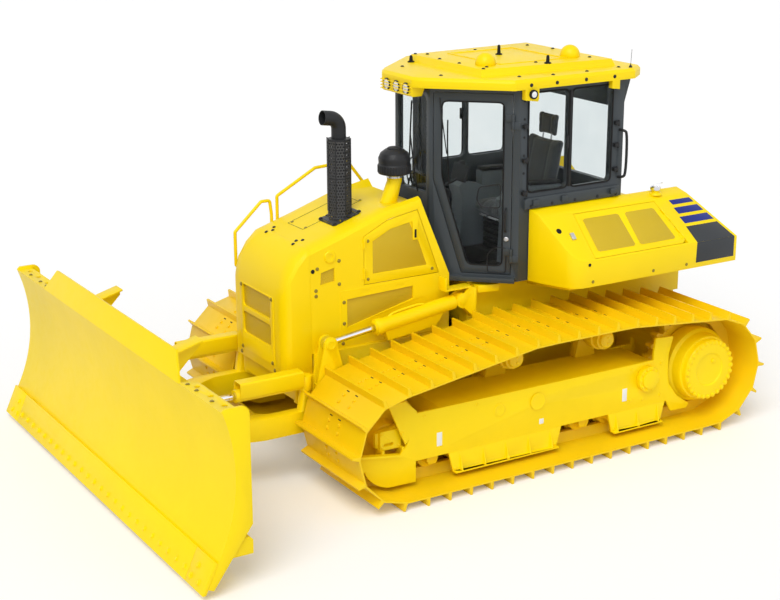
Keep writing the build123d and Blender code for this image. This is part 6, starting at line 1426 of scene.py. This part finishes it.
@dataclass
class Roof(Group):
    """Front lamps, bolts, aerials and strips of the roof, and the lamps under it."""

    brow: float = -0.048
    lamp_z: float = 3.030
    above: float = 4.0

    def lamps(self) -> None:
        """Lenses, bezels and guard bars of the front lamps."""
        for index, x in enumerate((-0.150, 0.0, 0.150)):
            self.turned(f"front_bezel_{index}", (x, self.brow + 0.012, self.lamp_z), (0, -1, 0), (
                (0.047, 0.0), (0.049, 0.004), (0.049, 0.014), (0.043, 0.017), (0.041, 0.010)), Paint.BLACK)
            self.turned(f"front_lens_{index}", (x, self.brow + 0.002, self.lamp_z), (0, -1, 0), (
                (0.041, 0.0), (0.040, 0.005), (0.026, 0.009), (0.008, 0.010)), Paint.LENS)
        near, far = self.brow + 0.01, self.brow - 0.022
        bars = [self.bench.tube("bar", ((-0.225, near, z), (-0.215, far, z), (0.215, far, z), (0.225, near, z)),
                                0.0035, 2) for z in (2.992, 3.018, 3.044, 3.068)]
        self.join("lamp_bars", bars, Paint.YELLOW)

    def top(self) -> None:
        """Bolts, aerial stubs, the whip and the raised strips."""
        down = (0, 0, -1)
        starts = self.both([(x, y, self.above) for x, y in (
            (0.30, 0.20), (0.52, 0.47), (0.70, 0.70), (0.76, 1.00), (0.76, 1.35), (0.72, 1.72), (0.45, 0.55),
            (0.45, 1.05), (0.45, 1.62), (0.15, 0.48), (0.15, 1.68), (0.25, 1.86))])
        self.bolts("roof_bolts", "cab_roof", starts, down, 0.022, Paint.BLACK)
        for side, s in SIDES:
            eave = [(s * 1.3, y, 3.085) for y in (0.72, 0.98, 1.28, 1.58)]
            self.bolts(f"eave_bolts_{side}", "cab_roof", eave, (-s, 0, 0), 0.020, Paint.BLACK)
        for index, (x, y, h) in enumerate(((-0.10, 1.06, 0.085), (0.55, 1.10, 0.070), (-0.48, 0.40, 0.060))):
            self.stud(f"aerial_{index}", "cab_roof", (x, y, self.above), down, (
                (0.030, -0.002), (0.030, 0.008), (0.016, 0.014), (0.013, h - 0.01), (0.008, h)), Paint.RUBBER,
                      sides=24, axis=(0, 0, 1))
        strips = []
        for x0, x1, y0, y1 in ((-0.38, 0.38, 0.72, 0.745), (-0.38, 0.38, 1.40, 1.425), (-0.40, -0.375, 0.72, 1.425),
                               (0.375, 0.40, 0.72, 1.425)):
            found = self.bench.hit("cab_roof", ((x0 + x1) / 2, (y0 + y1) / 2, self.above), down)
            if found:
                z = found[0].z
                strips.append(self.bench.block("strip", (x0, y0, z - 0.004), (x1, y1, z + 0.008), 0.003))
        self.join("roof_strips", strips, Paint.YELLOW)
        base = self.stud("whip_base", "cab_roof", (0.78, 1.80, self.above), down, (
            (0.014, -0.002), (0.014, 0.010), (0.006, 0.020), (0.003, 0.034)), Paint.BLACK, sides=16, axis=(0, 0, 1))
        if base:
            self.tube("whip", ((0.78, 1.80, base.z + 0.02), (0.781, 1.802, 3.20), (0.783, 1.806, 3.288)), 0.002,
                      Paint.BLACK)

    def sides(self) -> None:
        """The round lamps on the pillar brackets."""
        for side, s in SIDES:
            at = self.stud(f"bracket_lamp_{side}", "cab_roof", (s * 1.3, 0.735, 3.010), (-s, 0, 0), (
                (0.036, -0.002), (0.038, 0.006), (0.038, 0.022), (0.030, 0.026), (0.028, 0.020)), Paint.RUBBER,
                           sides=28, axis=(s, 0, 0))
            if at:
                self.turned(f"bracket_lens_{side}", (at.x + s * 0.018, at.y, at.z), (s, 0, 0), (
                    (0.028, 0.0), (0.025, 0.005), (0.008, 0.007)), Paint.LENS, sides=24)

    def build(self) -> None:
        """Build all of it."""
        self.lamps()
        self.top()
        self.sides()


@dataclass
class CabInside(Group):
    """The operator's place: padded seat, levers, display and pedals."""

    seat_y: float = 1.180
    floor_z: float = 1.4666
    settle: int = 15
    channel: float = 0.016
    channel_deep: float = 0.007

    def swell(self, piece: bpy.types.Object, most: float) -> None:
        """Blow a piece up with cloth pressure, each point by no more than a given distance."""
        start = [v.co.copy() for v in piece.data.vertices]
        cloth = piece.modifiers.new("swell", "CLOTH")
        cloth.settings.use_pressure = True
        cloth.settings.uniform_pressure_force = 4.0
        cloth.settings.effector_weights.gravity = 0.0
        for index in range(1, self.settle):
            bpy.context.scene.frame_set(index)
        bpy.ops.object.modifier_apply(modifier="swell")
        bpy.context.scene.frame_set(1)
        for vertex, old in zip(piece.data.vertices, start):
            move = vertex.co - old
            if move.length > most:
                vertex.co = old + move.normalized() * most

    def pad(self, name: str, outline: Sequence[tuple[float, float]], half: float, swell: float) -> None:
        """Model one padded piece: a rounded block swollen by pressure, with two sewn channels.

        Args:
            name: The piece's name.
            outline: Its profile as y from the seat and height over the floor.
            half: Half its width.
            swell: How far a point may move.
        """
        corners = [(-half, self.seat_y + y, self.floor_z + z) for y, z in outline]
        piece = self.bench.plate(name, corners, (2 * half, 0, 0), 0.018)
        self.bench.only(piece)
        fine = piece.modifiers.new("fine", "REMESH")
        fine.mode = "VOXEL"
        fine.voxel_size = 0.007
        bpy.ops.object.modifier_apply(modifier="fine")
        self.swell(piece, swell)
        centre = sum((v.co.z for v in piece.data.vertices)) / len(piece.data.vertices)
        for vertex in piece.data.vertices:
            for line in (-half * 0.52, half * 0.52):
                gap = abs(vertex.co.x - line)
                if gap < self.channel and (vertex.co.z > centre or name != "seat_cushion"):
                    vertex.co -= vertex.normal * self.channel_deep * (1 - gap / self.channel)
        self.bench.only(piece)
        soft = piece.modifiers.new("soft", "SMOOTH")
        soft.factor = 0.5
        soft.iterations = 3
        bpy.ops.object.modifier_apply(modifier="soft")
        level = piece.modifiers.new("round", "SUBSURF")
        level.levels = level.render_levels = 1
        bpy.ops.object.modifier_apply(modifier="round")
        bpy.ops.object.shade_smooth()
        self.keep(piece, Paint.CLOTH)
        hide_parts("operator_seat")

    def seat(self) -> None:
        """Cushion, back and headrest on a suspension base with bellows."""
        y, z = self.seat_y, self.floor_z
        self.pad("seat_cushion", ((-0.262, 0.340), (0.240, 0.312), (0.250, 0.408), (-0.232, 0.430), (-0.272, 0.402)),
                 0.236, 0.022)
        self.pad("seat_back", ((0.190, 0.415), (0.262, 0.392), (0.374, 0.962), (0.342, 0.988), (0.308, 0.965)),
                 0.230, 0.016)
        self.pad("seat_headrest", ((0.338, 0.998), (0.370, 0.994), (0.392, 1.180), (0.370, 1.198), (0.342, 1.182)),
                 0.128, 0.012)
        posts = [self.bench.tube("post", ((x, y + 0.345, z + 0.94), (x, y + 0.352, z + 1.00),
                                          (x, y + 0.360, z + 1.05)), 0.008) for x in (-0.06, 0.06)]
        self.join("headrest_posts", posts, Paint.ZINC)
        folds = []
        for index in range(6):
            low = z + 0.01 + index * 0.048
            folds.append(self.bench.block("fold", (-0.185, y - 0.210, low), (0.185, y + 0.210, low + 0.044), 0.018, 3))
        self.join("seat_bellows", folds, Paint.RUBBER)
        self.tube("seat_rail", ((-0.20, y - 0.22, z + 0.304), (0.0, y - 0.232, z + 0.304),
                                (0.20, y - 0.22, z + 0.304)), 0.010, Paint.ZINC)

    def tilted(self, x: float, y: float, z: float, angle: float) -> Matrix:
        """Give the matrix of a place over the floor that leans by some degrees about X."""
        return Matrix.Translation((x, y, self.floor_z + z)) @ Matrix.Rotation(math.radians(angle), 4, "X")

    def levers(self) -> None:
        """Levers with boots, armrests and pedals."""
        y, z, block = self.seat_y, self.floor_z, self.bench.block
        for side, s in SIDES:
            self.turned(f"lever_boot_{side}", (s * 0.370, y - 0.300, z + 0.560), (0, 0, 1), (
                (0.060, 0.0), (0.062, 0.012), (0.048, 0.024), (0.050, 0.034), (0.036, 0.046), (0.038, 0.056),
                (0.026, 0.070)), Paint.RUBBER, sides=24)
            self.turned(f"lever_grip_{side}", (s * 0.370, y - 0.300, z + 0.655), (0, -0.15, 1), (
                (0.022, 0.0), (0.030, 0.020), (0.032, 0.060), (0.035, 0.082), (0.033, 0.100), (0.020, 0.112)),
                        Paint.MOULDED)
            self.copies(f"armrest_{side}", block("arm", (-0.048, -0.155, -0.016), (0.048, 0.175, 0.020), 0.014, 3),
                        [self.tilted(s * 0.360, y + 0.030, 0.670, -3)], Paint.MOULDED)
            self.copies(f"pedal_{side}", block("pedal", (-0.045, -0.012, -0.07), (0.045, 0.004, 0.07), 0.005),
                        [self.tilted(s * 0.205, 0.395, 0.16, -35)], Paint.RUBBER)

    def dash(self) -> None:
        """The display on its arm, the mat and the grab bar."""
        z, block = self.floor_z, self.bench.block
        spot = self.tilted(0.150, 0.500, 0.80, -18)
        self.copies("display_case", block("display", (-0.105, -0.014, -0.075), (0.105, 0.014, 0.075), 0.008, 3),
                    [spot], Paint.MOULDED)
        self.copies("display_face", block("face", (-0.092, 0.0125, -0.060), (0.092, 0.0155, 0.060), 0.001, 1),
                    [spot], Paint.PANEL)
        self.tube("display_arm", ((0.05, 0.330, z + 0.66), (0.12, 0.40, z + 0.70), (0.150, 0.492, z + 0.76)), 0.012,
                  Paint.BLACK)
        self.block("floor_mat", (-0.240, 0.360, z - 0.002), (0.240, 0.900, z + 0.008), 0.003, Paint.RUBBER)
        self.tube("dash_bar", [(x, y, z + up) for x, y, up in (
            (-0.14, 0.20, 0.69), (-0.14, 0.17, 0.80), (0.0, 0.165, 0.82), (0.14, 0.17, 0.80), (0.14, 0.20, 0.69))],
                  0.010, Paint.BLACK)

    def build(self) -> None:
        """Build all of it."""
        self.seat()
        self.levers()
        self.dash()


# ------------------------------------------------------------------ working gear
@dataclass
class BladeFittings(Group):
    """Bolts of the cutting edge, the top flange and the back of the blade."""

    def build(self) -> None:
        """Build all of it."""
        row = [(x / 1000, -3.4, 0.120) for x in range(-1740, 1741, 145)]
        ends = self.both([(1.85, -3.4, 0.10), (1.98, -3.4, 0.10), (1.90, -3.4, 0.19)])
        flange = self.both([(1.45, -2.66, 2.0), (1.60, -2.66, 2.0), (1.85, -2.66, 2.0)])
        back = self.both([(x, -1.9, z) for x in (0.55, 1.2, 1.8) for z in (0.33, 1.18)])
        for name, node, starts, toward, size, paint in (
                ("edge_bolts", "cutting_edge", row, (0, 1, 0), 0.034, Paint.YELLOW),
                ("end_bit_bolts", "cutting_edge", ends, (0, 1, 0), 0.034, Paint.YELLOW),
                ("flange_bolts", "blade", flange, (0, 0, -1), 0.022, Paint.BOLT),
                ("back_bolts", "blade_frame", back, (0, -1, 0), 0.026, Paint.YELLOW)):
            self.bolts(name, node, starts, toward, size, paint, "blade")


@dataclass
class Cylinders(Group):
    """Glands, pin caps and hydraulic pipes of the lift cylinders."""

    lift_x: float = 0.583
    eye: tuple[float, float] = (-1.051, 1.125)
    pin: tuple[float, float] = (0.217, 1.290)
    barrel: float = 0.837
    pipe_run: tuple[float, float] = (0.36, 0.70)
    pipe_low: float = 0.055
    pipe_high: float = 0.024

    def build(self) -> None:
        """Glands and pipes of the lift cylinders, and the caps of their pins."""
        (ey, ez), (py, pz) = self.eye, self.pin
        way = Vector((0, ey - py, ez - pz)).normalized()
        for side, s in SIDES:
            body, rear = f"lift_barrel_{side}", Vector((s * self.lift_x, py, pz))
            self.turned(f"lift_gland_{side}", rear + way * self.barrel - way * 0.006, way, (
                (0.056, 0.0), (0.056, 0.012), (0.048, 0.017), (0.040, 0.017), (0.036, 0.010), (0.030, 0.010)),
                        Paint.YELLOW, body)
            start, end = (rear + way * run + Vector((0, 0, self.pipe_low)) for run in self.pipe_run)
            up = Vector((0, 0, self.pipe_high))
            self.tube(f"lift_pipe_{side}", [start, start + up, end + up, end], 0.010, Paint.YELLOW, body)
            self.stud(f"lift_pin_cap_{side}", "c_frame", (s * 1.2, ey, ez), (-s, 0, 0), (
                (0.044, -0.002), (0.044, 0.002), (0.041, 0.0035), (0.027, 0.0035), (0.025, 0.0015),
                (0.012, 0.0015)), Paint.YELLOW, "c_frame", axis=(s, 0, 0))


# ------------------------------------------------------------------ stage
@dataclass
class Studio:
    """The floor, the lamps, the surround and the camera."""

    camera_at: Point = (11.0516, -6.8347, 5.1037)
    azimuth: float = 58.635
    pitch: float = 16.845
    roll: float = 0.186
    lens: float = 72.43
    floor_size: float = 80.0
    surround: float = 0.45
    glow: float = 0.12

    def floor(self) -> None:
        """Lay the pale floor under the tracks; it fades into the white surround."""
        bpy.ops.object.select_all(action="DESELECT")
        bpy.ops.mesh.primitive_plane_add(size=self.floor_size, location=(0, 0, CAD_BOX[0][2]))
        plane = bpy.context.active_object
        plane.name = "studio_floor"
        material = bpy.data.materials.new("StudioFloor")
        material.use_nodes = True
        shader = material.node_tree.nodes["Principled BSDF"]
        shader.inputs["Base Color"].default_value = (0.93, 0.93, 0.93, 1.0)
        shader.inputs["Roughness"].default_value = 0.8
        shader.inputs["Specular IOR Level"].default_value = 0.05
        g = Graph(material.node_tree)
        path = g.node("ShaderNodeLightPath")
        shader.inputs["Emission Color"].default_value = (1.0, 1.0, 1.0, 1.0)
        g.link(g.math("MULTIPLY", path.outputs["Is Camera Ray"], self.glow), shader.inputs["Emission Strength"])
        plane.data.materials.append(material)

    def world(self) -> None:
        """Make the plain white surround, full white to the eye, in gloss and through glass."""
        world = bpy.data.worlds.new("Surround")
        bpy.context.scene.world = world
        world.use_nodes = True
        g = Graph(world.node_tree)
        back = world.node_tree.nodes["Background"]
        back.inputs["Color"].default_value = (1.0, 1.0, 1.0, 1.0)
        path = g.node("ShaderNodeLightPath")
        seen = g.math("MAXIMUM", path.outputs["Is Camera Ray"], path.outputs["Is Transmission Ray"])
        seen = g.math("MAXIMUM", seen, path.outputs["Is Glossy Ray"])
        strength = g.math("ADD", g.math("MULTIPLY", seen, 1.0 - self.surround), self.surround)
        g.link(strength, back.inputs["Strength"])

    def lamps(self) -> None:
        """Hang a wide, soft key light and a weaker fill."""
        for name, place, strength, width in (
                ("key", (6.0, -6.0, 11.0), 2.0, 42.0), ("fill", (10.0, 2.0, 3.0), 0.35, 90.0)):
            data = bpy.data.lights.new(name, "SUN")
            data.energy = strength
            data.angle = math.radians(width)
            lamp = bpy.data.objects.new(name, data)
            bpy.context.scene.collection.objects.link(lamp)
            lamp.location = place
            aim = Vector((0, 0, 1.2)) - Vector(place)
            lamp.rotation_euler = aim.to_track_quat("-Z", "Y").to_euler()

    def camera(self) -> None:
        """Set the camera at the viewing place."""
        data = bpy.data.cameras.new("camera")
        data.lens = self.lens
        data.sensor_width = 36.0
        camera = bpy.data.objects.new("camera", data)
        bpy.context.scene.collection.objects.link(camera)
        camera.location = self.camera_at
        camera.rotation_mode = "XYZ"
        camera.rotation_euler = (math.radians(90 - self.pitch), math.radians(self.roll), math.radians(self.azimuth))
        bpy.context.scene.camera = camera

    def build(self) -> None:
        """Make the whole stage."""
        self.floor()
        self.world()
        self.lamps()
        self.camera()
        bpy.context.scene.view_settings.view_transform = "Standard"


def main() -> None:
    """Build the stage and every sub-assembly."""
    Studio().build()
    bench, finishes = Bench(), Finishes()
    for kind in (Castings, Undercarriage, Bonnet, Stack, Screens, SideBoxes, Tail, CabOutside, Roof, CabInside,
                 BladeFittings, Cylinders):
        kind(bench, finishes).build()
        LOG.info("%s built", kind.__name__)


if __name__ == "__main__":
    main()
